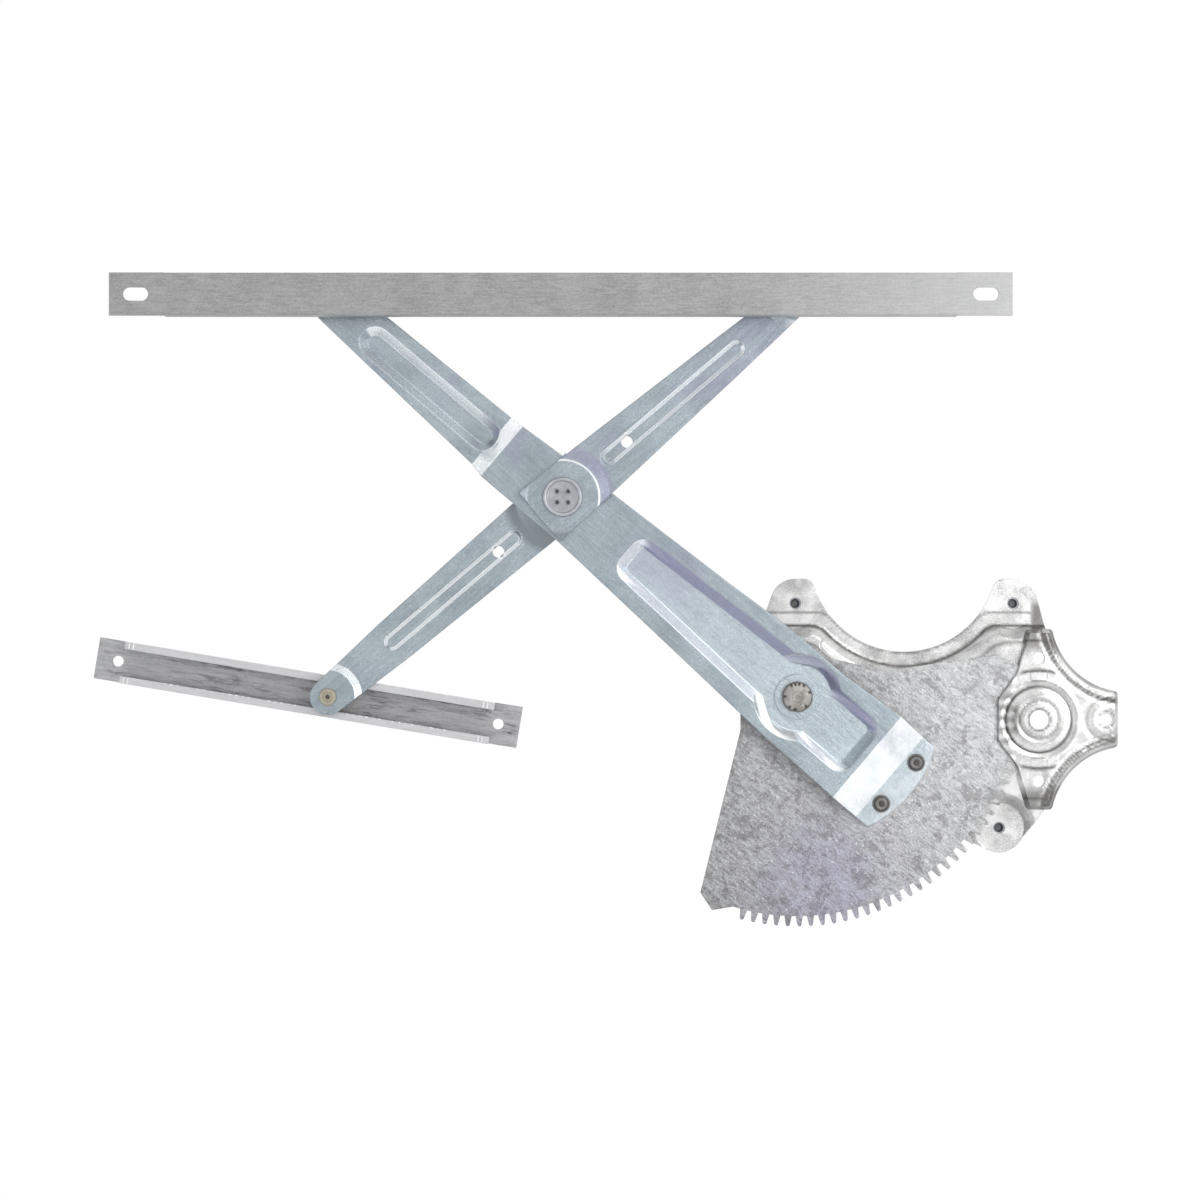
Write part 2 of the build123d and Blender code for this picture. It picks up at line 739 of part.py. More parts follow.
roller("lift_roller", far_x, far_z, upper_roller_radius, roller_back, roller_front)
roller_pin("lift_roller_pin", far_x, far_z, far_depth, pin_head_radius)
roller_washer("lift_roller_washer", far_x, far_z, roller_front + running_gap)
roller("upper_roller", upper_x, upper_z, upper_roller_radius, roller_back, roller_front)
roller_pin("upper_roller_pin", upper_x, upper_z, upper_pad_depth, pin_head_radius)
roller_washer("upper_roller_washer", upper_x, upper_z, roller_front + running_gap)
roller("lower_roller", lower_x, lower_z, lower_roller_radius, lower_roller_back, lower_roller_front)
roller_washer("lower_roller_washer", lower_x, lower_z, lower_roller_back - running_gap - washer)

# The lower pin points away from the glass, so its head shows
with BuildPart() as lower_roller_pin:
    pin_tail = lower_roller_back - running_gap - washer
    post(lower_pad_depth + arm_sheet, lower_x, lower_z, lower_head_radius, pin_head)
    post(pin_tail, lower_x, lower_z, journal_radius, lower_pad_depth + arm_sheet - pin_tail)
    post(lower_roller_front + running_gap, lower_x, lower_z, shoulder_radius,
         lower_pad_depth - lower_roller_front - running_gap)
lower_roller_pin.part.label = "lower_roller_pin"
export_step(lower_roller_pin.part, "parts/lower_roller_pin.step")


def channel(length, height, depth, lip, end_tab):
    # A lipped channel along X with its web at Y 0 to the sheet, open towards +Y; its ends are flat
    half = height / 2
    with BuildPart() as piece:
        with BuildSketch(Plane.YZ.offset(-length / 2 + end_tab)):
            with BuildLine():
                Polyline(
                    (depth, half - lip),
                    (depth, half),
                    (0, half),
                    (0, -half),
                    (depth, -half),
                    (depth, -half + lip),
                    (depth - rail_sheet, -half + lip),
                    (depth - rail_sheet, -half + rail_sheet),
                    (rail_sheet, -half + rail_sheet),
                    (rail_sheet, half - rail_sheet),
                    (depth - rail_sheet, half - rail_sheet),
                    (depth - rail_sheet, half - lip),
                    close=True,
                )
            make_face()
        extrude(amount=length - 2 * end_tab)
        fillet(piece.edges().filter_by(Axis.X).group_by(Axis.Y)[0], bend_radius)
        with BuildSketch(Plane.XZ):
            with Locations(((end_tab - length) / 2, 0), ((length - end_tab) / 2, 0)):
                Rectangle(end_tab, height)
        extrude(amount=-rail_sheet)
    return piece.part


# Glass rail: web towards the glass, flat ends with a slot each
glass_front = glass_rail_back + glass_rail_depth
glass_mid_x = (far_x + upper_x) / 2 + glass_rail_shift
with BuildPart() as glass_rail:
    add(channel(glass_rail_length, glass_rail_height, glass_rail_depth, glass_rail_lip,
                glass_rail_end_tab).moved(Location((glass_mid_x, -glass_front, upper_z))))
    slot_reach = glass_rail_length / 2 - slot_inset
    with BuildSketch(facing(glass_front - rail_sheet, glass_mid_x, upper_z)):
        with Locations((-slot_reach, 0), (slot_reach, 0)):
            SlotOverall(slot_length, slot_width)
    extrude(amount=rail_sheet, mode=Mode.SUBTRACT)
glass_rail.part.label = "glass_rail"
export_step(glass_rail.part, "parts/glass_rail.step")

# Guide rail: web on the panel, open towards the glass, a hole at each end
guide_x = lower_x + guide_rail_shift * cos(radians(rail_tilt))
guide_z = lower_z - guide_rail_shift * sin(radians(rail_tilt))
with BuildPart() as guide_rail:
    add(channel(guide_rail_length, guide_rail_height, guide_rail_depth, guide_rail_lip,
                guide_rail_end_tab).moved(Location((0, 0, 0), (180, 0, 0)))
        .moved(Location((guide_x, 0, guide_z), (0, rail_tilt, 0))))
    hole_reach = guide_rail_length / 2 - guide_hole_inset
    with BuildSketch(facing(0, guide_x, guide_z, -rail_tilt)):
        with Locations((-hole_reach, 0), (hole_reach, 0)):
            Circle(guide_hole_radius)
    extrude(amount=rail_sheet, mode=Mode.SUBTRACT)
guide_rail.part.label = "guide_rail"
export_step(guide_rail.part, "parts/guide_rail.step")
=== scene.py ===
import bmesh
import bpy
import json
import math
from mathutils import Matrix, Vector


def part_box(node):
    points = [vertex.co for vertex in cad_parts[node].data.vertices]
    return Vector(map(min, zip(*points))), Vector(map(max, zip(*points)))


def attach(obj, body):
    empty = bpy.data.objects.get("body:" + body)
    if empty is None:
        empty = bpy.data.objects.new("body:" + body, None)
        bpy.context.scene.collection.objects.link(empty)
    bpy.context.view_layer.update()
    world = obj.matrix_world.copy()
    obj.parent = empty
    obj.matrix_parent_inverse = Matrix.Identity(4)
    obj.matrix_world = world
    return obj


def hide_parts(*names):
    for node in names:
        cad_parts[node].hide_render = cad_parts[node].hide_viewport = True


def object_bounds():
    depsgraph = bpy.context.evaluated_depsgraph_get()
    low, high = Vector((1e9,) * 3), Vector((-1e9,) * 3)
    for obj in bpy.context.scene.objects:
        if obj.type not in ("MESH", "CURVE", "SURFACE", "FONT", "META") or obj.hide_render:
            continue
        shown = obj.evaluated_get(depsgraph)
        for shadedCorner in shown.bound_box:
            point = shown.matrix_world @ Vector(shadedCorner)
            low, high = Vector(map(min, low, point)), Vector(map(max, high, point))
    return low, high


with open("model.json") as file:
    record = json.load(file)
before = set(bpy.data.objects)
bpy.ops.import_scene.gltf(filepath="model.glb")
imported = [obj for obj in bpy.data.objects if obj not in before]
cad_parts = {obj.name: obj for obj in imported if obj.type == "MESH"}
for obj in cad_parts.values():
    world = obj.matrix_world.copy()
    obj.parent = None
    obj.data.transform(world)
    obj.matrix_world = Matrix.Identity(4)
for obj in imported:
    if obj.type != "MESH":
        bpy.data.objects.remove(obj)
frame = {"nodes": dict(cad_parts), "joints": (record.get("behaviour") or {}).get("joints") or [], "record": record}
cadLow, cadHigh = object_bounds()
nodes = frame["nodes"]
print("frame loaded:", len(nodes), "nodes")

# Places on the sheet are read from the frame's joints and from the mounts of the solids
joints = {joint["name"]: joint for joint in frame["joints"]}
mounts = {mount["name"]: mount for mount in frame["record"]["mounts"]}
millimetre = 0.001


def centreOf(entry):
    x, _, z = entry["pos_m"]
    return Vector((x, 0.0, z))


# A direction on the sheet, in degrees up from the right
def onSheet(degrees):
    return Vector((math.cos(math.radians(degrees)), 0.0, math.sin(math.radians(degrees))))


# Two holes a span apart, along a direction and on both sides of a middle
def pair(middle, direction, span):
    return [middle + onSheet(direction) * side * span * millimetre / 2 for side in (-1, 1)]


hub, pivot = centreOf(joints["equaliser_turn"]), centreOf(joints["lift_turn"])
upperPin, lowerPin = centreOf(joints["upper_roller_turn"]), centreOf(joints["lower_roller_turn"])
bore, railMiddle = centreOf(mounts["drive_bore"]), centreOf(mounts["guide_rail_bolts"])
motorHoles = pair(bore, -90, mounts["motor_bolts"]["dims"]["spacing_y_mm"])
tabs = pair(centreOf(mounts["panel_bolts"]), 0, mounts["panel_bolts"]["dims"]["spacing_x_mm"])
tabs.append(centreOf(mounts["panel_bolt_lower"]))

# The lift arm runs down to the right and the equaliser up to the right, both at armTurn
armTurn = math.degrees(math.atan2(upperPin.z - hub.z, upperPin.x - hub.x))
downRight, upRight = onSheet(-armTurn), onSheet(90 - armTurn)
slideAxis = joints["guide_rail_slide"]["axis"]
railTilt = math.degrees(math.atan2(-slideAxis[2], slideAxis[0]))


# One socket of a shader, so that material maths reads as plain expressions
class Sock:
    def __init__(self, maker, socket):
        self.maker = maker
        self.socket = socket

    def math(self, operation, *others):
        return self.maker.node("ShaderNodeMath", {"operation": operation}, [self, *others])

    def __add__(self, other):
        return self.math("ADD", other)

    def __radd__(self, other):
        return self.math("ADD", other)

    def __sub__(self, other):
        return self.math("SUBTRACT", other)

    def __rsub__(self, other):
        return self.maker.node("ShaderNodeMath", {"operation": "SUBTRACT"}, [other, self])

    def __mul__(self, other):
        return self.math("MULTIPLY", other)

    def __rmul__(self, other):
        return self.math("MULTIPLY", other)


# Adds nodes to one tree, of a material or of the world
class Nodes:
    def __init__(self, tree):
        self.tree = tree

    # Makes any node: its settings first, then its input values or links in order or by name
    def node(self, kind, settings=None, inputs=(), out=0):
        made = self.tree.nodes.new(kind)
        for key, value in (settings or {}).items():
            if key == "stops":
                ramp = made.color_ramp.elements
                while len(ramp) < len(value):
                    ramp.new(0.5)
                for element, (place, colour) in zip(ramp, value):
                    element.position = place
                    element.color = (*colour, 1.0)
            else:
                setattr(made, key, value)
        pairs = inputs.items() if isinstance(inputs, dict) else enumerate(inputs)
        for key, value in pairs:
            if isinstance(value, Sock):
                self.tree.links.new(value.socket, made.inputs[key])
            else:
                made.inputs[key].default_value = value
        return Sock(self, made.outputs[out])

    # 1 for rays that show the white background: the camera's own, mirrored ones and those through glass
    def backdropRays(self):
        return strongest(*[self.node("ShaderNodeLightPath", out="Is " + kind + " Ray")
                           for kind in ("Camera", "Glossy", "Transmission")])

    # How far a vector points along a direction, cut to a range
    def towards(self, vector, direction, low, high):
        share = self.node("ShaderNodeVectorMath", {"operation": "DOT_PRODUCT"}, [vector, direction], "Value")
        return self.spread(share, low, high)

    def spread(self, value, low, high):
        return self.node("ShaderNodeMapRange", {"clamp": True}, {
            "Value": value, "From Min": low, "From Max": high, "To Min": 0.0, "To Max": 1.0})


# The largest of some masks
def strongest(first, *others):
    for other in others:
        first = first.math("MAXIMUM", other)
    return first


# A sum of weighed patterns: the first number stands alone, and each further one weighs a pattern
def weigh(shares, *patterns):
    total = shares[0]
    for share, pattern in zip(shares[1:], patterns):
        total = pattern * share + total
    return total


class Shader(Nodes):
    def __init__(self, name):
        self.material = bpy.data.materials.new(name)
        self.material.use_nodes = True
        super().__init__(self.material.node_tree)
        self.surface = self.tree.nodes["Principled BSDF"]

    # Object coordinates; a turn and a stretch lay a pattern out along a direction of the sheet
    def place(self, turn=0.0, stretch=1.0):
        at = self.node("ShaderNodeTexCoord", out="Object")
        return self.node("ShaderNodeMapping", {"vector_type": "TEXTURE"}, {
            "Vector": at, "Rotation": (0.0, math.radians(turn), 0.0), "Scale": (stretch, 1.0, 1.0)})

    # A value stored on the piece's own points, such as the painted shade of its folds, rings and recesses
    def stored(self, name):
        return self.node("ShaderNodeAttribute", {"attribute_name": name}, out="Fac")

    def axes(self, at):
        split = self.node("ShaderNodeSeparateXYZ", {}, [at])
        return [Sock(self, output) for output in split.socket.node.outputs]

    # How far the surface, as it lies on its own piece, faces a direction
    def facing(self, direction, low, high):
        return self.towards(self.node("ShaderNodeTexCoord", out="Normal"), direction, low, high)

    # Distance from a centre along a direction of the sheet
    def ahead(self, at, centre, direction):
        x, _, z = self.axes(at)
        return (x - centre[0]) * direction[0] + (z - centre[2]) * direction[2]

    # Distance from a centre across the sheet
    def reach(self, at, centre):
        x, _, z = self.axes(at)
        across = (x - centre[0]) * (x - centre[0]) + (z - centre[2]) * (z - centre[2])
        return across.math("SQRT")

    # A thin line where a value passes a middle, given by its half width and that of its bright core
    def line(self, value, middle, half, core):
        return self.spread((value - middle).math("ABSOLUTE"), half, core)

    def noise(self, at, size, detail, rough, warp):
        return self.node("ShaderNodeTexNoise", {}, {
            "Vector": at, "Scale": 1.0 / size, "Detail": detail, "Roughness": rough,
            "Distortion": warp}, out="Fac")

    # Noise cut to a range: its size, detail, roughness and warp come first, then the range
    def pattern(self, at, size, detail, rough, warp, low, high):
        return self.spread(self.noise(at, size, detail, rough, warp), low, high)

    def blend(self, factor, first, second):
        made = self.tree.nodes.new("ShaderNodeMix")
        made.data_type = "RGBA"
        for socket, value in ((made.inputs[0], factor), (made.inputs[6], first), (made.inputs[7], second)):
            if isinstance(value, Sock):
                self.tree.links.new(value.socket, socket)
            else:
                socket.default_value = (*value, 1.0)
        return Sock(self, made.outputs[2])

    # Relief on top of worn edges, which catch the light as thin bright lines
    def bump(self, height, strength, distance, edge):
        worn = self.node("ShaderNodeBevel", {"samples": 4}, {"Radius": edge}, out="Normal")
        return self.node("ShaderNodeBump", {}, {
            "Height": height, "Strength": strength, "Distance": distance, "Normal": worn}, out="Normal")

    def finish(self, links, **values):
        for name, value in links.items():
            self.tree.links.new(value.socket, self.surface.inputs[name])
        for name, value in values.items():
            self.surface.inputs[name.replace("_", " ")].default_value = value
        return self.material


# Bright blue zinc plating, one recipe for the lift arm and the equaliser
blueZinc = {
    # The lilac is the plating's tint, and on the arms' walls also a painted reflection. The near-white is the
    # scuffs' colour and also that of the painted highlights on walls, steps and ends
    "pale": (0.503, 0.568, 0.609), "deep": (0.226, 0.266, 0.294), "lilac": (0.306, 0.281, 0.442),
    "nearWhite": (0.95, 0.975, 0.99), "length": 9.0,
    "patches": (0.030, 4.0, 0.6, 0.3, 0.36, 0.64), "drawn": (0.0016, 3.0, 0.6, 0.0, 0.30, 0.70),
    "grain": (0.0011, 3.0, 0.8, 0.0, 0.25, 0.75), "tint": (0.05, 2.0, 0.5, 0.6, 0.54, 0.74),
    "scuffs": (0.0007, 2.0, 0.6, 0.0, 0.68, 0.76), "tintShare": 0.35, "scuffShare": 0.45,
    "tone": (0.04, 0.26, 0.24, 0.48), "toneRange": (0.10, 1.05), "panDepth": (-0.0205, -0.0155),
    "metallic": 0.78, "rough": (0.17, 0.06, 0.07), "relief": (0.0, 1.0, 0.3),
    "bump": (0.26, 0.0005, 0.0013),
}


def makeBlueZinc(name, turn, panShare, paintArmLight):
    s = blueZinc
    shader = Shader(name)
    at = shader.place()
    along = shader.place(turn, s["length"])
    patches = shader.pattern(at, *s["patches"])
    drawn = shader.pattern(along, *s["drawn"])
    grain = shader.pattern(at, *s["grain"])
    pan = shader.spread(shader.axes(at)[1], *s["panDepth"])  # smoother and paler than the flats
    tone = weigh(s["tone"], patches, drawn, grain) + pan * panShare
    colour = shader.blend(shader.spread(tone, *s["toneRange"]), s["deep"], s["pale"])
    colour = shader.blend(shader.pattern(at, *s["tint"]) * s["tintShare"], colour, s["lilac"])
    colour = shader.blend(shader.pattern(along, *s["scuffs"]) * s["scuffShare"], colour, s["nearWhite"])
    colour = paintArmLight(shader, at, colour, patches)
    rough = weigh(s["rough"], patches, grain)
    normal = shader.bump(weigh(s["relief"], grain, drawn), *s["bump"])
    return shader.finish({"Base Color": colour, "Roughness": rough, "Normal": normal},
                         Metallic=s["metallic"])


# On the lift arm, walls that face the upper right, the stepped slopes and the end get painted highlights in
# near-white, and walls that face the lower left get lilac, partly the plating's tint and partly a painted
# reflection. Past farSide those walls get painted highlights too
liftPaintedLight = {
    "panShare": 0.40, "farSide": (-0.225, -0.235), "ribHalf": (0.0085, 0.0125), "end": (0.236, 0.262),
    "lilacWall": (0.25, 0.60), "lilacShare": 0.60, "farWall": (0.08, 0.28), "farHighlight": (0.85, 0.15),
    "nearWall": (0.22, 0.62), "nearHighlight": (0.80, -0.55), "step": (0.18, 0.32),
    "stepHighlight": (0.45, 0.35), "endHighlight": (0.2, 0.5),
}


def paintLiftLight(shader, at, colour, patches):
    s = liftPaintedLight
    far = shader.spread(shader.axes(at)[0], *s["farSide"])
    beside = shader.spread(shader.ahead(at, hub, upRight).math("ABSOLUTE"), *s["ribHalf"])
    lilac = shader.facing(-upRight, *s["lilacWall"]) * (1 - far) * s["lilacShare"]
    colour = shader.blend(lilac, colour, blueZinc["lilac"])
    farWall = shader.facing(-upRight, *s["farWall"]) * far * weigh(s["farHighlight"], patches)
    nearWall = shader.facing(upRight, *s["nearWall"]) * weigh(s["nearHighlight"], far)
    step = shader.facing(downRight, *s["step"]) * weigh(s["stepHighlight"], patches)
    step = step * (1 - far * (1 - beside))
    end = shader.spread(shader.ahead(at, hub, downRight), *s["end"]) * weigh(s["endHighlight"], patches)
    return shader.blend(strongest(farWall, nearWall, step, end), colour, blueZinc["nearWhite"])


# On the equaliser the ribs' walls and the far slopes get painted highlights outside a clear ring round the hub.
# In that ring lie a painted shade in the corner below, and above a lilac band, partly the plating's tint and
# partly a painted reflection, and a painted highlight line
equaliserPaintedLight = {
    "upperSide": (0.002, 0.008), "lowerSide": (0.0, -0.004), "clear": (0.030, 0.036),
    "shadedCorner": (0.20, 0.225, 0.245), "cornerIn": (0.0185, 0.0205), "cornerOut": (0.034, 0.030),
    "cornerShare": 0.85, "band": (0.0250, 0.0050, 0.0025), "bandShare": 0.42,
    "highlightLine": (0.0203, 0.0007, 0.0003), "highlightLineShare": 0.80, "wall": (0.08, 0.36), "upperHighlight": 0.85,
    "lowerHighlight": 0.70, "slope": (0.22, 0.50), "slopeHighlight": 0.45,
}


def paintEqualiserLight(shader, at, colour, patches):
    s = equaliserPaintedLight
    out, side = shader.reach(at, hub), shader.ahead(at, hub, upRight)
    above, below = shader.spread(side, *s["upperSide"]), shader.spread(side, *s["lowerSide"])
    shadedCorner = shader.spread(out, *s["cornerIn"]) * shader.spread(out, *s["cornerOut"]) * below
    colour = shader.blend(shadedCorner * s["cornerShare"], colour, s["shadedCorner"])
    band = shader.line(out, *s["band"]) * above
    colour = shader.blend(band * s["bandShare"], colour, blueZinc["lilac"])
    walls = strongest(shader.facing(-downRight, *s["wall"]) * s["upperHighlight"],
                      shader.facing(downRight, *s["wall"]) * s["lowerHighlight"],
                      shader.facing(upRight, *s["slope"]) * s["slopeHighlight"])
    highlightLine = shader.line(out, *s["highlightLine"]) * above * s["highlightLineShare"]
    highlighted = strongest(walls * shader.spread(out, *s["clear"]), highlightLine)
    return shader.blend(highlighted, colour, blueZinc["nearWhite"])


# Bright galvanised sheet; the cover's is smoother than the base plate's
brightZinc = {
    "pale": (0.809, 0.809, 0.804), "grey": (0.331, 0.331, 0.328), "stain": (0.158, 0.151, 0.144),
    "shade": (0.076, 0.072, 0.068), "patches": (0.014, 4.0, 0.6, 0.3, 0.32, 0.60),
    "grain": (0.0008, 3.0, 0.75, 0.0), "fine": (0.38, 0.62), "marks": (0.0045, 5.0, 0.75, 0.4, 0.66, 0.72),
    "paintedShadeShare": (0.80, 0.20), "metallic": 0.85, "relief": (0.0, 1.0, 0.3),
}
plateFinish = {"tone": (0.14, 0.62, 0.24), "markShare": 0.22, "rough": (0.19, 0.08, 0.07),
               "bump": (0.12, 0.0004, 0.0007)}
coverFinish = {"tone": (0.28, 0.56, 0.12), "markShare": 0.12, "rough": (0.19, 0.08, 0.02),
               "bump": (0.05, 0.0004, 0.0007)}


def makeBrightZinc(name, sheetFinish):
    s = {**brightZinc, **sheetFinish}
    shader = Shader(name)
    at = shader.place()
    patches = shader.pattern(at, *s["patches"])
    grain = shader.noise(at, *s["grain"])
    fine = shader.spread(grain, *s["fine"])
    colour = shader.blend(weigh(s["tone"], patches, fine), s["grey"], s["pale"])
    colour = shader.blend(shader.pattern(at, *s["marks"]) * s["markShare"], colour, s["stain"])
    # Painted shade in the sheet's folds, rims and rings
    colour = shader.blend(shader.stored("fold") * weigh(s["paintedShadeShare"], patches), colour, s["shade"])
    rough = weigh(s["rough"], patches, fine)
    normal = shader.bump(weigh(s["relief"], grain, patches), *s["bump"])
    return shader.finish({"Base Color": colour, "Roughness": rough, "Normal": normal},
                         Metallic=s["metallic"])


# Mottled galvanised plate of the sector: a painted pool of light makes it pale at the cover and greyer at the
# heel;
# lilac low down is partly the plating's tint and partly a painted reflection
gearZinc = {
    "pale": (0.672, 0.680, 0.689), "grey": (0.144, 0.144, 0.148), "lilac": (0.274, 0.255, 0.403),
    "stain": (0.091, 0.087, 0.084), "nearWhite": (0.88, 0.88, 0.88), "rollTurn": 40.0, "length": 3.0,
    "crystals": (0.0021, 4.0, 0.72, 0.2, 0.36, 0.64), "grain": (0.0013, 4.0, 0.85, 0.0),
    "speckle": (0.36, 0.64), "clouds": (0.020, 4.0, 0.65, 0.3, 0.34, 0.66),
    "lightPoolSpot": (0.080, 0.0, -0.060), "lightPoolReach": (0.215, 0.030),
    "tone": (0.0, 0.36, 0.38, 0.12, 0.27), "toneRange": (0.16, 1.06),
    "lilacSpot": (-0.045, 0.0, -0.155), "lilacReach": (0.060, 0.015), "lilacShare": (0.12, 0.45),
    "flecks": (0.0034, 6.0, 0.85, 0.3, 0.57, 0.66), "fleckShare": (0.50, 0.35),
    "smears": (0.009, 5.0, 0.72, 0.3, 0.555, 0.585), "smearShare": (0.22, 0.34),
    "scratches": (0.0011, 3.0, 0.7, 0.0, 0.62, 0.70), "scratchShare": 0.60,
    "metallic": 0.6, "rough": (0.28, 0.12, 0.2), "relief": (0.0, 0.8, 0.4, -0.3),
    "bump": (0.55, 0.0006, 0.0007),
}


def makeGearZinc():
    s = gearZinc
    shader = Shader("gearZinc")
    at = shader.place()
    rolled = shader.place(s["rollTurn"], s["length"])
    crystals = shader.pattern(rolled, *s["crystals"])
    grain = shader.noise(at, *s["grain"])
    speckle = shader.spread(grain, *s["speckle"])
    clouds = shader.pattern(at, *s["clouds"])
    # A painted pool of light, strongest near this spot, pales the plate
    near = shader.spread(shader.reach(at, s["lightPoolSpot"]), *s["lightPoolReach"])
    tone = weigh(s["tone"], crystals, speckle, clouds, near)
    colour = shader.blend(shader.spread(tone, *s["toneRange"]), s["grey"], s["pale"])
    # Lilac low down: partly the plating's tint and partly a painted reflection
    low = shader.spread(shader.reach(at, s["lilacSpot"]), *s["lilacReach"])
    colour = shader.blend(low * weigh(s["lilacShare"], crystals), colour, s["lilac"])
    flecks = shader.pattern(at, *s["flecks"])
    colour = shader.blend(flecks * weigh(s["fleckShare"], speckle), colour, s["stain"])
    smears = shader.pattern(at, *s["smears"])
    colour = shader.blend(smears * weigh(s["smearShare"], crystals), colour, s["stain"])
    scratches = shader.pattern(rolled, *s["scratches"])
    colour = shader.blend(scratches * s["scratchShare"], colour, s["nearWhite"])
    rough = weigh(s["rough"], crystals, flecks)
    normal = shader.bump(weigh(s["relief"], grain, crystals, scratches), *s["bump"])
    return shader.finish({"Base Color": colour, "Roughness": rough, "Normal": normal},
                         Metallic=s["metallic"])


# Matte warm-grey galvanised sheet of the glass rail, with painted light that makes it brighter to the right, a
# painted highlight along the bend of its lower lip and a painted shade on the lip below it
railZinc = {
    "pale": (0.451, 0.451, 0.442), "grey": (0.213, 0.213, 0.213), "stain": (0.164, 0.160, 0.156),
    "paintedLight": (0.607, 0.611, 0.615), "lipShade": (0.164, 0.172, 0.193), "length": 9.0,
    "patches": (0.022, 5.0, 0.65, 0.3, 0.34, 0.66), "grain": (0.0009, 4.0, 0.85, 0.0),
    "speckle": (0.38, 0.62), "drawn": (0.0011, 3.0, 0.7, 0.0, 0.34, 0.66),
    "tone": (0.0, 0.24, 0.42, 0.34), "marks": (0.0042, 5.0, 0.8, 0.3, 0.64, 0.72), "markShare": 0.45,
    "litRun": (-0.10, 0.06), "litShare": 0.46, "bendHighlight": (0.1558, 0.0009, 0.0003), "bendHighlightShare": 0.40,
    "lip": (0.1552, 0.1546), "lipShare": 0.45, "metallic": 0.5, "rough": (0.42, 0.08, 0.1),
    "relief": (0.0, 1.0, 0.3), "bump": (0.3, 0.0005, 0.0007),
}


def makeRailZinc():
    s = railZinc
    shader = Shader("railZinc")
    at = shader.place()
    along = shader.place(0.0, s["length"])
    x, _, z = shader.axes(at)
    patches = shader.pattern(at, *s["patches"])
    grain = shader.noise(at, *s["grain"])
    speckle = shader.spread(grain, *s["speckle"])
    drawn = shader.pattern(along, *s["drawn"])
    colour = shader.blend(weigh(s["tone"], patches, speckle, drawn), s["grey"], s["pale"])
    colour = shader.blend(shader.pattern(at, *s["marks"]) * s["markShare"], colour, s["stain"])
    # Painted light: brighter towards the right
    colour = shader.blend(shader.spread(x, *s["litRun"]) * s["litShare"], colour, s["paintedLight"])
    # Painted highlight along the lower lip's bend
    colour = shader.blend(shader.line(z, *s["bendHighlight"]) * s["bendHighlightShare"], colour, s["paintedLight"])
    # Painted shade on the lip below the bend
    colour = shader.blend(shader.spread(z, *s["lip"]) * s["lipShare"], colour, s["lipShade"])
    rough = weigh(s["rough"], patches, grain)
    normal = shader.bump(weigh(s["relief"], grain, drawn), *s["bump"])
    return shader.finish({"Base Color": colour, "Roughness": rough, "Normal": normal},
                         Metallic=s["metallic"])


# Streaky sheet of the guide rail, with bright lips and a web that is smudged with grease
guideZinc = {
    "pale": (0.528, 0.528, 0.536), "grey": (0.288, 0.288, 0.296), "grease": (0.044, 0.040, 0.040),
    "lip": (0.688, 0.688, 0.696), "length": 10.0, "streaks": (0.0016, 4.0, 0.7, 0.0, 0.36, 0.66),
    "grain": (0.0009, 4.0, 0.8, 0.0), "speckle": (0.36, 0.64), "tone": (0.0, 0.6, 0.4),
    "smudge": (0.0026, 5.0, 0.75, 0.3, 0.50, 0.64), "blots": (0.024, 3.0, 0.6, 0.4, 0.40, 0.60),
    "inside": (-0.008, -0.003), "lipShare": 0.60, "greaseShare": 0.85, "metallic": 0.6,
    "rough": (0.30, 0.12, 0.08), "relief": (0.0, 0.6, 0.4), "bump": (0.25, 0.0004, 0.0007),
}


def makeGuideZinc():
    s = guideZinc
    shader = Shader("guideZinc")
    at = shader.place()
    along = shader.place(railTilt, s["length"])
    streaks = shader.pattern(along, *s["streaks"])
    grain = shader.noise(at, *s["grain"])
    speckle = shader.spread(grain, *s["speckle"])
    colour = shader.blend(weigh(s["tone"], streaks, speckle), s["grey"], s["pale"])
    inside = shader.spread(shader.axes(at)[1], *s["inside"])
    colour = shader.blend((1 - inside) * s["lipShare"], colour, s["lip"])
    smudge = shader.pattern(along, *s["smudge"]) * shader.pattern(at, *s["blots"])
    colour = shader.blend(smudge * inside * s["greaseShare"], colour, s["grease"])
    rough = weigh(s["rough"], grain, streaks)
    normal = shader.bump(weigh(s["relief"], grain, streaks), *s["bump"])
    return shader.finish({"Base Color": colour, "Roughness": rough, "Normal": normal},
                         Metallic=s["metallic"])


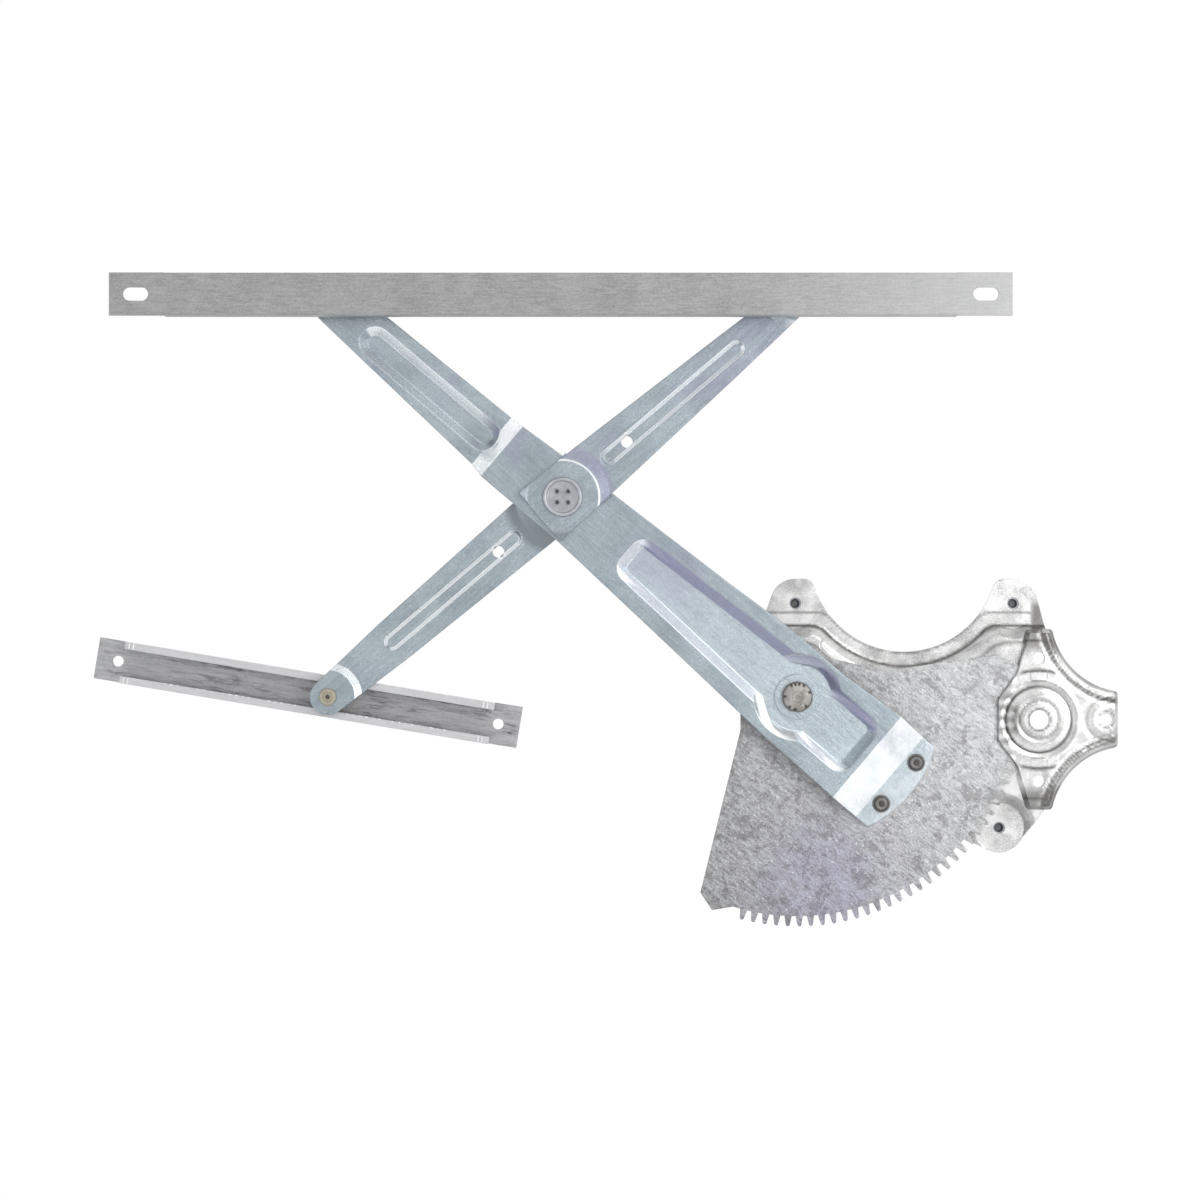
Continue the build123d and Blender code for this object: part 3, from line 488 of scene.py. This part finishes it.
# Small parts share one recipe: two tones, a painted shade for folds and recesses, a grain size, a metal share and
# a roughness
smallParts = {
    "darkRivet": {"pale": (0.30, 0.285, 0.27), "grey": (0.14, 0.13, 0.125),
                  "shade": (0.022, 0.020, 0.020), "grain": 0.0009, "metallic": 0.5, "rough": 0.36},
    "pinSteel": {"pale": (0.50, 0.46, 0.39), "grey": (0.30, 0.27, 0.22),
                 "shade": (0.05, 0.045, 0.04), "grain": 0.0012, "metallic": 0.6, "rough": 0.34},
    "nutSteel": {"pale": (0.52, 0.54, 0.57), "grey": (0.32, 0.33, 0.36),
                 "shade": (0.045, 0.045, 0.05), "grain": 0.0012, "metallic": 0.7, "rough": 0.28},
    "pivotSteel": {"pale": (0.50, 0.47, 0.435), "grey": (0.21, 0.20, 0.19),
                   "shade": (0.03, 0.027, 0.025), "grain": 0.0011, "metallic": 0.55, "rough": 0.34},
    "lacquer": {"pale": (0.50, 0.46, 0.36), "grey": (0.33, 0.29, 0.21),
                "shade": (0.07, 0.06, 0.05), "grain": 0.0009, "metallic": 0.5, "rough": 0.36},
    "crimpWhite": {"pale": (0.92, 0.92, 0.92), "grey": (0.75, 0.75, 0.75),
                   "shade": (0.3, 0.3, 0.3), "grain": 0.0009, "metallic": 0.3, "rough": 0.25},
    "nutDark": {"pale": (0.24, 0.24, 0.24), "grey": (0.09, 0.09, 0.09),
                "shade": (0.03, 0.03, 0.03), "grain": 0.0008, "metallic": 0.6, "rough": 0.40},
    "bushPlastic": {"pale": (0.80, 0.79, 0.74), "grey": (0.66, 0.65, 0.60),
                    "shade": (0.2, 0.2, 0.2), "grain": 0.0016, "metallic": 0.0, "rough": 0.45},
    "rollerPlastic": {"pale": (0.84, 0.83, 0.78), "grey": (0.60, 0.58, 0.52),
                      "shade": (0.2, 0.2, 0.2), "grain": 0.0022, "metallic": 0.0, "rough": 0.38},
}
smallWear = {"speckle": (4.0, 0.7, 0.3), "wearGrains": 4, "wear": (3.0, 0.6, 0.6, 0.36, 0.64),
             "tone": (0.0, 0.5, 0.5), "paintedShadeShare": 0.9, "roughShare": 0.12, "bump": (0.2, 0.0003, 0.0007)}


def makeSmall(name):
    s = {**smallWear, **smallParts[name]}
    shader = Shader(name)
    at = shader.place()
    grain = shader.noise(at, s["grain"], *s["speckle"])
    wear = shader.pattern(at, s["grain"] * s["wearGrains"], *s["wear"])
    colour = shader.blend(weigh(s["tone"], grain, wear), s["grey"], s["pale"])
    # Painted shade in the part's rings, cuts and recesses
    colour = shader.blend(shader.stored("fold") * s["paintedShadeShare"], colour, s["shade"])
    rough = s["rough"] + wear * s["roughShare"]
    normal = shader.bump(grain, *s["bump"])
    return shader.finish({"Base Color": colour, "Roughness": rough, "Normal": normal},
                         Metallic=s["metallic"])


liftZinc = makeBlueZinc("liftZinc", armTurn, liftPaintedLight["panShare"], paintLiftLight)
equaliserZinc = makeBlueZinc("equaliserZinc", -armTurn, 0.0, paintEqualiserLight)
plateZinc = makeBrightZinc("brightZinc", plateFinish)
coverZinc = makeBrightZinc("coverZinc", coverFinish)
small = {name: makeSmall(name) for name in smallParts}
finishes = {
    "lift_arm": liftZinc, "equaliser_front": equaliserZinc, "equaliser_rear": equaliserZinc,
    "base_plate": plateZinc, "pinion_cover": coverZinc, "sector_gear": makeGearZinc(),
    "glass_rail": makeRailZinc(), "guide_rail": makeGuideZinc(),
    "gear_rivets": small["darkRivet"], "pivot_pin": small["pivotSteel"],
    "equaliser_hub": small["nutSteel"], "panel_weld_nuts": small["nutSteel"],
    "pivot_bush": small["bushPlastic"], "pivot_washer": liftZinc,
}
for name, piece in nodes.items():
    if name in finishes:
        finish = finishes[name]
    elif name.endswith("_pin"):
        finish = small["pinSteel"]
    elif name.endswith("_roller"):
        finish = small["rollerPlastic"]
    else:
        finish = small["nutSteel"]
    for socket in piece.material_slots:
        socket.material = finish
print("materials on", len(nodes), "nodes")

# What all new pieces share: gaps that merge and that a cut lands in, and the angles of hard edges
making = {"merge": 1e-6, "cut": 1e-7, "pressedEdge": 32, "turnedEdge": 50}


def ease(value, low, high):
    t = min(1.0, max(0.0, (value - low) / (high - low)))
    return t * t * (3.0 - 2.0 * t)


def ridge(value, middle, half):
    t = min(1.0, abs(value - middle) / half)
    return (1.0 + math.cos(math.pi * t)) / 2


# The sum of some ridges, each row a middle, a half width and a height or a depth of shade
def ridges(value, rows):
    return sum(ridge(value, middle, half) * height for middle, half, height in rows)


def smoothUnder(sheet, degrees):
    for edge in sheet.edges:
        edge.smooth = len(edge.link_faces) == 2 and edge.calc_face_angle(0.0) < math.radians(degrees)
    for face in sheet.faces:
        face.smooth = True


# Turns a bmesh into an object of the scene
def showPiece(name, made, finish):
    mesh = bpy.data.meshes.new(name)
    made.to_mesh(mesh)
    made.free()
    mesh.materials.append(finish)
    piece = bpy.data.objects.new(name, mesh)
    bpy.context.scene.collection.objects.link(piece)
    return piece


# A round hole through a sheet: cut along its sides, emptied and walled
piercing = {"sides": 16, "cutReach": 2.2, "emptyReach": 1.5}


def pierce(sheet, centre, radius):
    sides = [onSheet(360 * turn / piercing["sides"]) for turn in range(piercing["sides"])]

    def around(reach):
        return [face for face in sheet.faces
                if ((face.calc_center_median() - centre) * Vector((1.0, 0.0, 1.0))).length < reach]

    for side in sides:
        faces = around(radius * piercing["cutReach"])
        edges = {edge for face in faces for edge in face.edges}
        verts = {vertex for face in faces for vertex in face.verts}
        bmesh.ops.bisect_plane(sheet, geom=list(verts) + list(edges) + faces, dist=making["cut"],
                               plane_co=centre + side * radius, plane_no=side)
    inner = [face for face in around(radius * piercing["emptyReach"])
             if max((face.calc_center_median() - centre).dot(side) for side in sides) < radius]
    bmesh.ops.delete(sheet, geom=inner, context="FACES")
    rim = [edge for edge in sheet.edges if len(edge.link_faces) == 1]
    bmesh.ops.bridge_loops(sheet, edges=rim)


# A finer copy of a pressed sheet: cut into small cells, then pressed further by a relief
def pressAgain(node, name, body, cell, relief, holes=(), holeRadius=0.0):
    sheet = bmesh.new()
    sheet.from_mesh(nodes[node].data)
    bmesh.ops.remove_doubles(sheet, verts=sheet.verts, dist=making["merge"])
    low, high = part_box(node)
    for axis, normal in ((0, (1.0, 0.0, 0.0)), (2, (0.0, 0.0, 1.0))):
        cuts = int((high[axis] - low[axis]) / cell)
        for cut in range(1, cuts + 1):
            at = Vector(low) + Vector(normal) * cell * cut
            bmesh.ops.bisect_plane(sheet, geom=sheet.verts[:] + sheet.edges[:] + sheet.faces[:],
                                   dist=making["cut"], plane_co=at, plane_no=normal)
    bmesh.ops.remove_doubles(sheet, verts=sheet.verts, dist=making["merge"])
    for centre in holes:
        pierce(sheet, centre, holeRadius)
    paintedShades = sheet.verts.layers.float.new("fold")
    for vertex in sheet.verts:
        x, y, z = vertex.co
        # The relief presses each point and gives it a painted shade
        rise, vertex[paintedShades] = relief(x, -y, z)
        vertex.co.y = y - rise
    smoothUnder(sheet, making["pressedEdge"])
    piece = showPiece(name, sheet, finishes[node])
    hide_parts(node)
    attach(piece, body)
    print(name, len(piece.data.polygons), "faces")


# Tabs and arched edge lie flat on the door panel, and one rounded wall climbs from them to the body
basePress = {
    "cell": 0.0015, "holeRadius": 0.0036, "archCentre": (0.0, 0.0252), "creaseRadius": 0.0595,
    "creaseHeight": -0.0120, "tabRadius": 0.01375, "tabRun": 0.006, "body": 0.008,
    "wall": (-0.0010, 0.0060), "soft": 0.004,
    "paintedShades": ((0.0004, 0.0019, 1.0), (-0.0069, 0.0012, 0.70), (0.0098, 0.0017, 0.70)),
    "side": (0.0690, 0.0720), "sideFoot": -0.0300, "sideTop": 0.0040, "sideFade": 0.006,
    "sideShade": 0.80,
}


def baseRelief(x, depth, z):
    s = basePress
    tab = min(math.hypot(x - centre.x, z - centre.z) for centre in tabs)
    body = s["body"] * min(1.0, max(0.0, (tab - s["tabRadius"]) / s["tabRun"]))
    arch = math.hypot(x - s["archCentre"][0], z - s["archCentre"][1]) - s["creaseRadius"]
    level = s["creaseHeight"] - z
    mixed = max(0.0, s["soft"] - abs(arch - level)) / s["soft"]
    out = min(arch, level) - mixed * mixed * s["soft"] / 4
    flange = s["body"] * ease(out, *s["wall"])
    # Painted shade: dark bands at set distances from the arched wall's edge, and over the right side between
    # sideFoot and sideTop
    fold = ridges(out, s["paintedShades"])
    if z > s["sideFoot"]:
        side = ease(x, *s["side"]) * ease(s["sideTop"] - z, 0.0, s["sideFade"])
        fold = max(fold, side * s["sideShade"])
    return min(0.0, flange - body), min(1.0, fold)


# The cover has rolled rims along its hollow edges, soft rings round the bore, arcs at the tip and ribs across its
# inner tab.
# Painted shade lies in lines along the rims, rings and arcs, at the necks and the ends of its two ears, towards
# the tip, along its inner side and between the ribs
coverPress = {
    "cell": 0.0013, "sheet": (0.0100, 0.0140), "fade": 0.004,
    "hollow": ((0.008, 0.050), (0.021, 0.0265), (0.0443, 0.0155)),
    "rims": ((0.0012, 0.0028, -0.0008), (0.0046, 0.0016, 0.0006), (0.0072, 0.0012, -0.0005)),
    "rimShades": ((0.0008, 0.0022, 0.60), (0.0040, 0.0016, 0.80), (0.0060, 0.0009, 0.95)),
    "rings": ((0.0108, 0.0018, -0.0005), (0.0140, 0.0022, 0.0005), (0.0184, 0.0018, -0.0006),
              (0.0215, 0.0018, 0.0003)),
    "ringShades": ((0.0059, 0.0011, 0.80), (0.0104, 0.0017, 0.62), (0.0140, 0.0010, 0.25),
                  (0.0182, 0.0013, 0.90), (0.0212, 0.0012, 0.35)),
    "tip": 0.0372, "arcs": ((0.0066, 0.0012, 0.0002), (0.0110, 0.0016, -0.0003)),
    "arcShades": ((0.0045, 0.0008, 0.65), (0.0112, 0.0020, 0.55), (0.0082, 0.0010, 0.30)),
    "neckShades": ((0.0272, 0.0018, 0.90), (0.0300, 0.0009, -0.30), (0.0440, 0.0012, 0.45)),
    "neckBow": 0.060, "neckReach": 0.012, "earEnd": (0.0340, 0.0420), "earShade": 0.70,
    "tipEnd": (0.0370, 0.0480), "tipShade": 0.45, "ribSide": 0.0125, "ribPitch": 0.0062,
    "ribRise": 0.0006, "ribShade": 0.50, "innerShade": ((-0.01275, 0.004, 0.70),),
    "innerReach": 0.012, "innerFade": 0.008,
}


def circleThrough(first, second, third):
    (ax, ay), (bx, by), (cx, cy) = first, second, third
    twist = 2 * (ax * (by - cy) + bx * (cy - ay) + cx * (ay - by))
    a, b, c = ax * ax + ay * ay, bx * bx + by * by, cx * cx + cy * cy
    x = (a * (by - cy) + b * (cy - ay) + c * (ay - by)) / twist
    y = (a * (cx - bx) + b * (ax - cx) + c * (bx - ax)) / twist
    return x, y, math.hypot(ax - x, ay - y)


hollowX, hollowZ, hollowRadius = circleThrough(*coverPress["hollow"])


def coverRelief(x, depth, z):
    s = coverPress
    x, z = x - bore.x, z - bore.z
    inset = math.hypot(x - hollowX, abs(z) - hollowZ) - hollowRadius
    out = math.hypot(x, z)
    tip = math.hypot(x - s["tip"], z)
    rise = ridges(inset, s["rims"]) + ridges(out, s["rings"]) + ridges(tip, s["arcs"])
    # These values are painted shade
    fold = ridges(inset, s["rimShades"]) + ridges(out, s["ringShades"]) + ridges(tip, s["arcShades"])
    bowed = abs(z) + x * x / s["neckBow"]
    fold += ridges(bowed, s["neckShades"]) * ease(s["neckReach"] - abs(x), 0.0, s["fade"])
    fold += ease(abs(z), *s["earEnd"]) * s["earShade"] + ease(x, *s["tipEnd"]) * s["tipShade"]
    fold += ridges(x, s["innerShade"]) * ease(s["innerReach"] - abs(z), 0.0, s["innerFade"])
    wave = (1.0 - math.cos(2 * math.pi * z / s["ribPitch"])) / 2
    onTab = ease(-x, s["ribSide"], s["ribSide"] + s["fade"])
    rise += wave * s["ribRise"] * onTab
    fold += (1.0 - wave) * s["ribShade"] * onTab
    return ease(depth, *s["sheet"]) * rise, min(1.0, max(0.0, fold))


pressAgain("base_plate", "basePlateSheet", "base", basePress["cell"], baseRelief,
           motorHoles, basePress["holeRadius"])
pressAgain("pinion_cover", "pinionCoverSheet", "base", coverPress["cell"], coverRelief)


# Turned pieces: a profile of (radius, depth, shade) rows is spun about a centre on the sheet, and
# notches are radial cuts in its outer part
def turnPiece(name, body, finish, centre, seat, profile, segments=48, notches=None):
    turned = bmesh.new()
    points = [turned.verts.new((centre.x + radius, -seat - depth, centre.z)) for radius, depth, _ in profile]
    edges = [turned.edges.new(ends) for ends in zip(points, points[1:])]
    bmesh.ops.spin(turned, geom=points + edges, cent=centre, axis=(0.0, 1.0, 0.0),
                   angle=2 * math.pi, steps=segments, use_merge=True)
    bmesh.ops.remove_doubles(turned, verts=turned.verts, dist=making["merge"])
    bmesh.ops.recalc_face_normals(turned, faces=turned.faces)
    paintedShades = turned.verts.layers.float.new("fold")
    for vertex in turned.verts:
        x, z = vertex.co.x - centre.x, vertex.co.z - centre.z
        out = math.hypot(x, z)
        vertex[paintedShades] = min(profile, key=lambda row: abs(row[0] - out) + abs(seat + row[1] + vertex.co.y))[2]
        if notches and out > notches["from"]:
            angle = math.degrees(math.atan2(z, x)) % 360
            near = min(abs((angle - place + 180) % 360 - 180) for place in notches["angles"])
            cut = 1.0 - ease(near, *notches["half"])
            vertex.co.y += cut * notches["depth"]
            # The staking cuts get painted shade
            vertex[paintedShades] = max(vertex[paintedShades], cut)
    smoothUnder(turned, making["turnedEdge"])
    piece = showPiece(name, turned, finish)
    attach(piece, body)


# Rivet faces: a collar, two rings and a flat middle
rivetFace = {
    "reach": 0.2436, "spread": 0.0297, "seat": 0.0150,
    "profile": ((0.0, 0.0027, 0.2), (0.0007, 0.0027, 0.9), (0.0010, 0.0022, 1.0), (0.0019, 0.0022, 0.2),
                (0.0023, 0.0027, 0.0), (0.0031, 0.0027, 0.1), (0.0035, 0.0021, 1.0), (0.0040, 0.0012, 0.8),
                (0.0044, 0.0006, 0.0), (0.0049, 0.0004, 0.3), (0.0050, 0.0, 0.8), (0.0, 0.0, 0.8)),
}
for index, side in enumerate((-1, 1)):
    centre = hub + downRight * rivetFace["reach"] + upRight * side * rivetFace["spread"] / 2
    turnPiece("rivetFace" + str(index + 1), "lift_arm_body", small["darkRivet"], centre,
              rivetFace["seat"], rivetFace["profile"])

# The staked head of the sector's pivot: faint rings, a rough rim and cuts from the staking tool
pivotFace = {
    "seat": 0.0203, "segments": 120,
    "profile": ((0.0, 0.0002, 0.0), (0.0011, 0.0001, 0.35), (0.0019, 0.0004, 0.0), (0.0030, 0.0003, 0.3),
                (0.0038, 0.0005, 0.0), (0.0056, 0.0005, 0.05), (0.0068, 0.0004, 0.12), (0.0077, 0.0002, 0.30),
                (0.0082, -0.0004, 0.9), (0.0084, -0.0012, 1.0), (0.0084, -0.0040, 1.0), (0.0, -0.0040, 1.0)),
    "notches": {"from": 0.0060, "half": (3.2, 8.0), "depth": 0.0009,
                "angles": (20, 62, 84, 101, 118, 178, 232, 255, 262, 311)},
}
turnPiece("pivotFace", "base", small["pivotSteel"], pivot, pivotFace["seat"],
          pivotFace["profile"], pivotFace["segments"], pivotFace["notches"])

# The hub's pressed face: a bright rounded ring round a flat floor, and four staked pits with light rims
hubFace = {
    "seat": 0.0239, "segments": 64, "pitReach": 0.0043, "pitTurn": 45.0, "pitCount": 4,
    "pitSeat": 0.02395, "pitSegments": 24,
    "profile": ((0.0, 0.0001, 0.1), (0.0083, 0.0001, 0.12), (0.0088, 0.0002, 0.75), (0.0092, 0.0007, 0.0),
                (0.0098, 0.0010, 0.0), (0.0105, 0.0008, 0.05), (0.0109, 0.0004, 0.75), (0.0109, -0.0008, 0.7),
                (0.0, -0.0008, 0.7)),
    "pitProfile": ((0.0, 0.0002, 1.0), (0.0009, 0.0002, 1.0), (0.0011, 0.0006, 0.5), (0.0014, 0.0007, 0.0),
                   (0.0017, 0.0002, 0.0), (0.0017, 0.0, 0.0), (0.0, 0.0, 0.0)),
}
turnPiece("hubFace", "equaliser", small["nutSteel"], hub, hubFace["seat"],
          hubFace["profile"], hubFace["segments"])
for index in range(hubFace["pitCount"]):
    turn = hubFace["pitTurn"] + 360 * index / hubFace["pitCount"]
    turnPiece("hubPit" + str(index + 1), "equaliser", small["nutSteel"],
              hub + onSheet(turn) * hubFace["pitReach"], hubFace["pitSeat"], hubFace["pitProfile"],
              hubFace["pitSegments"])

# The lower roller's pin head: a brown lacquered ring round a bored centre
lowerFace = {
    "seat": 0.0208,
    "profile": ((0.0, -0.0004, 1.0), (0.0009, -0.0004, 1.0), (0.0011, 0.0002, 0.6), (0.0021, 0.0004, 0.0),
                (0.0025, 0.0002, 0.5), (0.0034, 0.0003, 0.0), (0.0042, 0.0003, 0.1), (0.0046, 0.0, 0.7),
                (0.0046, -0.0016, 0.7), (0.0, -0.0016, 0.7)),
}
turnPiece("lowerPinFace", "equaliser", small["lacquer"], lowerPin, lowerFace["seat"],
          lowerFace["profile"])

# Small bright crimp marks along the inside of the guide rail's lower lip, with gaps in the row, and a
# pair of upright marks at each of its four corners
crimps = {
    "reach": 0.082, "count": 46, "offset": -0.0078, "depth": 0.0122, "size": (0.0014, 0.0007, 0.0007),
    "swell": (0.8, 0.1), "swellTurns": (7, 5), "gaps": (0, 4, 5, 9, 15, 16, 22, 27, 28, 35, 41),
    "ends": ((0.0985, 0.0095), (0.0985, -0.0095), (-0.1000, 0.0095), (-0.1000, -0.0095)),
    "endSize": (0.0008, 0.0009, 0.0034), "endGap": 0.0022, "bevel": 0.00012,
}


def makeCrimps():
    s = crimps
    row = bmesh.new()

    def addMark(along, across, size):
        mark = bmesh.ops.create_cube(row, size=1.0)["verts"]
        bmesh.ops.scale(row, vec=size, verts=mark)
        bmesh.ops.translate(row, vec=(along, -s["depth"], across), verts=mark)

    turns, kinds = s["swellTurns"]
    for index in [place for place in range(s["count"]) if place not in s["gaps"]]:
        swell = s["swell"][0] + s["swell"][1] * (index * turns % kinds)
        along = (index / (s["count"] - 1) - 0.5) * 2 * s["reach"]
        addMark(along, s["offset"], (s["size"][0] * swell, s["size"][1], s["size"][2] * swell))
    for along, across in s["ends"]:
        for side in (-1, 1):
            addMark(along + side * s["endGap"] / 2, across, s["endSize"])
    bmesh.ops.rotate(row, cent=(0.0, 0.0, 0.0), verts=row.verts,
                     matrix=Matrix.Rotation(math.radians(railTilt), 3, "Y"))
    bmesh.ops.translate(row, vec=railMiddle, verts=row.verts)
    bmesh.ops.bevel(row, geom=row.edges[:], offset=s["bevel"], segments=1, affect="EDGES", profile=0.5,
                    material=-1)
    piece = showPiece("crimpMarks", row, small["crimpWhite"])
    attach(piece, "guide_rail_body")


makeCrimps()

# Blind ends of the weld nuts, dark inside the tabs' holes
nutEnds = {"seat": 0.0, "profile": ((0.0, -0.0030, 0.3), (0.0012, -0.0028, 0.0), (0.0025, -0.0030, 0.8),
                                    (0.0025, -0.0049, 0.8), (0.0, -0.0049, 0.8))}
for index, centre in enumerate(tabs):
    turnPiece("weldNutEnd" + str(index + 1), "base", small["nutDark"], centre,
              nutEnds["seat"], nutEnds["profile"])
print("faces, crimp marks and nut ends made")

# The world is white for the camera, in mirrors and through glass; the light that it sheds on the
# object fades from white at the upper right to grey-lilac
sky = {
    "toward": (0.65, 0.0, 0.76), "level": 1.0, "white": (1.0, 1.0, 1.0, 1.0),
    "stops": [(0.0, (0.24, 0.20, 0.42)), (0.30, (0.32, 0.32, 0.38)), (0.50, (0.60, 0.61, 0.62)),
              (0.68, (0.80, 0.81, 0.81)), (1.0, (1.4, 1.4, 1.4))],
}


def makeSky():
    world = bpy.data.worlds.new("studioSky")
    bpy.context.scene.world = world
    world.use_nodes = True
    world.node_tree.nodes.clear()
    shades = Nodes(world.node_tree)
    height = shades.towards(shades.node("ShaderNodeTexCoord", out="Generated"), sky["toward"], -1.0, 1.0)
    colour = shades.node("ShaderNodeValToRGB", {"stops": sky["stops"]}, [height], "Color")
    lit = shades.node("ShaderNodeBackground", {}, {"Color": colour, "Strength": sky["level"]})
    seen = shades.node("ShaderNodeBackground", {}, {"Color": sky["white"]})
    mixed = shades.node("ShaderNodeMixShader", {}, [shades.backdropRays(), lit, seen])
    out = world.node_tree.nodes.new("ShaderNodeOutputWorld")
    world.node_tree.links.new(mixed.socket, out.inputs["Surface"])


# A pale round floor, far enough below the object to clear it at every pose. Where it is seen it is
# almost white and keeps a faint shadow
floorLook = {"radius": 1.4, "segments": 96, "drop": 0.160, "colour": (0.86, 0.86, 0.87, 1.0),
             "rough": 0.8, "glow": 0.86}


def makeFloor():
    s = floorLook
    middle = (cadLow + cadHigh) / 2
    disc = bmesh.new()
    bmesh.ops.create_circle(disc, cap_ends=True, segments=s["segments"], radius=s["radius"])
    bmesh.ops.translate(disc, verts=disc.verts, vec=(middle.x, middle.y, cadLow.z - s["drop"]))
    shader = Shader("floorPaint")
    shader.finish({}, Base_Color=s["colour"], Roughness=s["rough"])
    glow = shader.node("ShaderNodeEmission")
    paint = Sock(shader, shader.surface.outputs["BSDF"])
    mixed = shader.node("ShaderNodeMixShader", {}, [shader.backdropRays() * s["glow"], paint, glow])
    shader.tree.links.new(mixed.socket, shader.tree.nodes["Material Output"].inputs["Surface"])
    floor = showPiece("studioFloor", disc, shader.material)


# Soft lamps, each given by its place from the object's middle, its size and its power
lamps = {
    "keyLamp": {"place": (0.9, -1.1, 1.2), "size": 1.0, "watts": 4.5, "colour": (1.0, 0.99, 0.97)},
    "rightLamp": {"place": (0.50, -0.50, 0.10), "size": 0.35, "watts": 1.2, "colour": (1.0, 1.0, 1.0)},
    "stepLamp": {"place": (0.62, -0.86, -0.50), "size": 0.45, "watts": 4.2, "colour": (1.0, 1.0, 1.0)},
    "leftLamp": {"place": (-1.1, -0.85, -0.12), "size": 0.8, "watts": 2.2, "colour": (0.93, 0.96, 1.0)},
    "backLamp": {"place": (0.2, 1.3, 1.0), "size": 1.2, "watts": 5.0, "colour": (1.0, 1.0, 1.0)},
}


def makeLamps():
    middle = (cadLow + cadHigh) / 2
    for name, lamp in lamps.items():
        light = bpy.data.lights.new(name, "AREA")
        light.size = lamp["size"]
        light.energy = lamp["watts"]
        light.color = lamp["colour"]
        holder = bpy.data.objects.new(name, light)
        holder.location = middle + Vector(lamp["place"])
        holder.rotation_mode = "QUATERNION"
        holder.rotation_quaternion = (middle - holder.location).to_track_quat("-Z", "Y")
        bpy.context.scene.collection.objects.link(holder)


# The photograph looks straight at the glass side; its middle pixel and its scale place the camera
shot = {
    "imagePixels": 1200, "originPixel": (907.0, 603.5), "metresPerPixel": 0.00055,
    "distance": 2.2, "planeDepth": 0.024, "sensor": 36.0,
}


def makeCamera():
    half = shot["imagePixels"] / 2
    k = shot["metresPerPixel"]
    x = (half - shot["originPixel"][0]) * k
    z = (shot["originPixel"][1] - half) * k
    data = bpy.data.cameras.new("shotCamera")
    data.sensor_width = shot["sensor"]
    data.lens = shot["sensor"] * shot["distance"] / (shot["imagePixels"] * k)
    camera = bpy.data.objects.new("shotCamera", data)
    camera.location = (x, -shot["planeDepth"] - shot["distance"], z)
    camera.rotation_euler = (math.pi / 2, 0.0, 0.0)
    bpy.context.scene.collection.objects.link(camera)
    bpy.context.scene.camera = camera


makeSky()
makeFloor()
makeLamps()
makeCamera()
bpy.context.scene.view_settings.view_transform = "Standard"
print("stage, lamps and camera made")
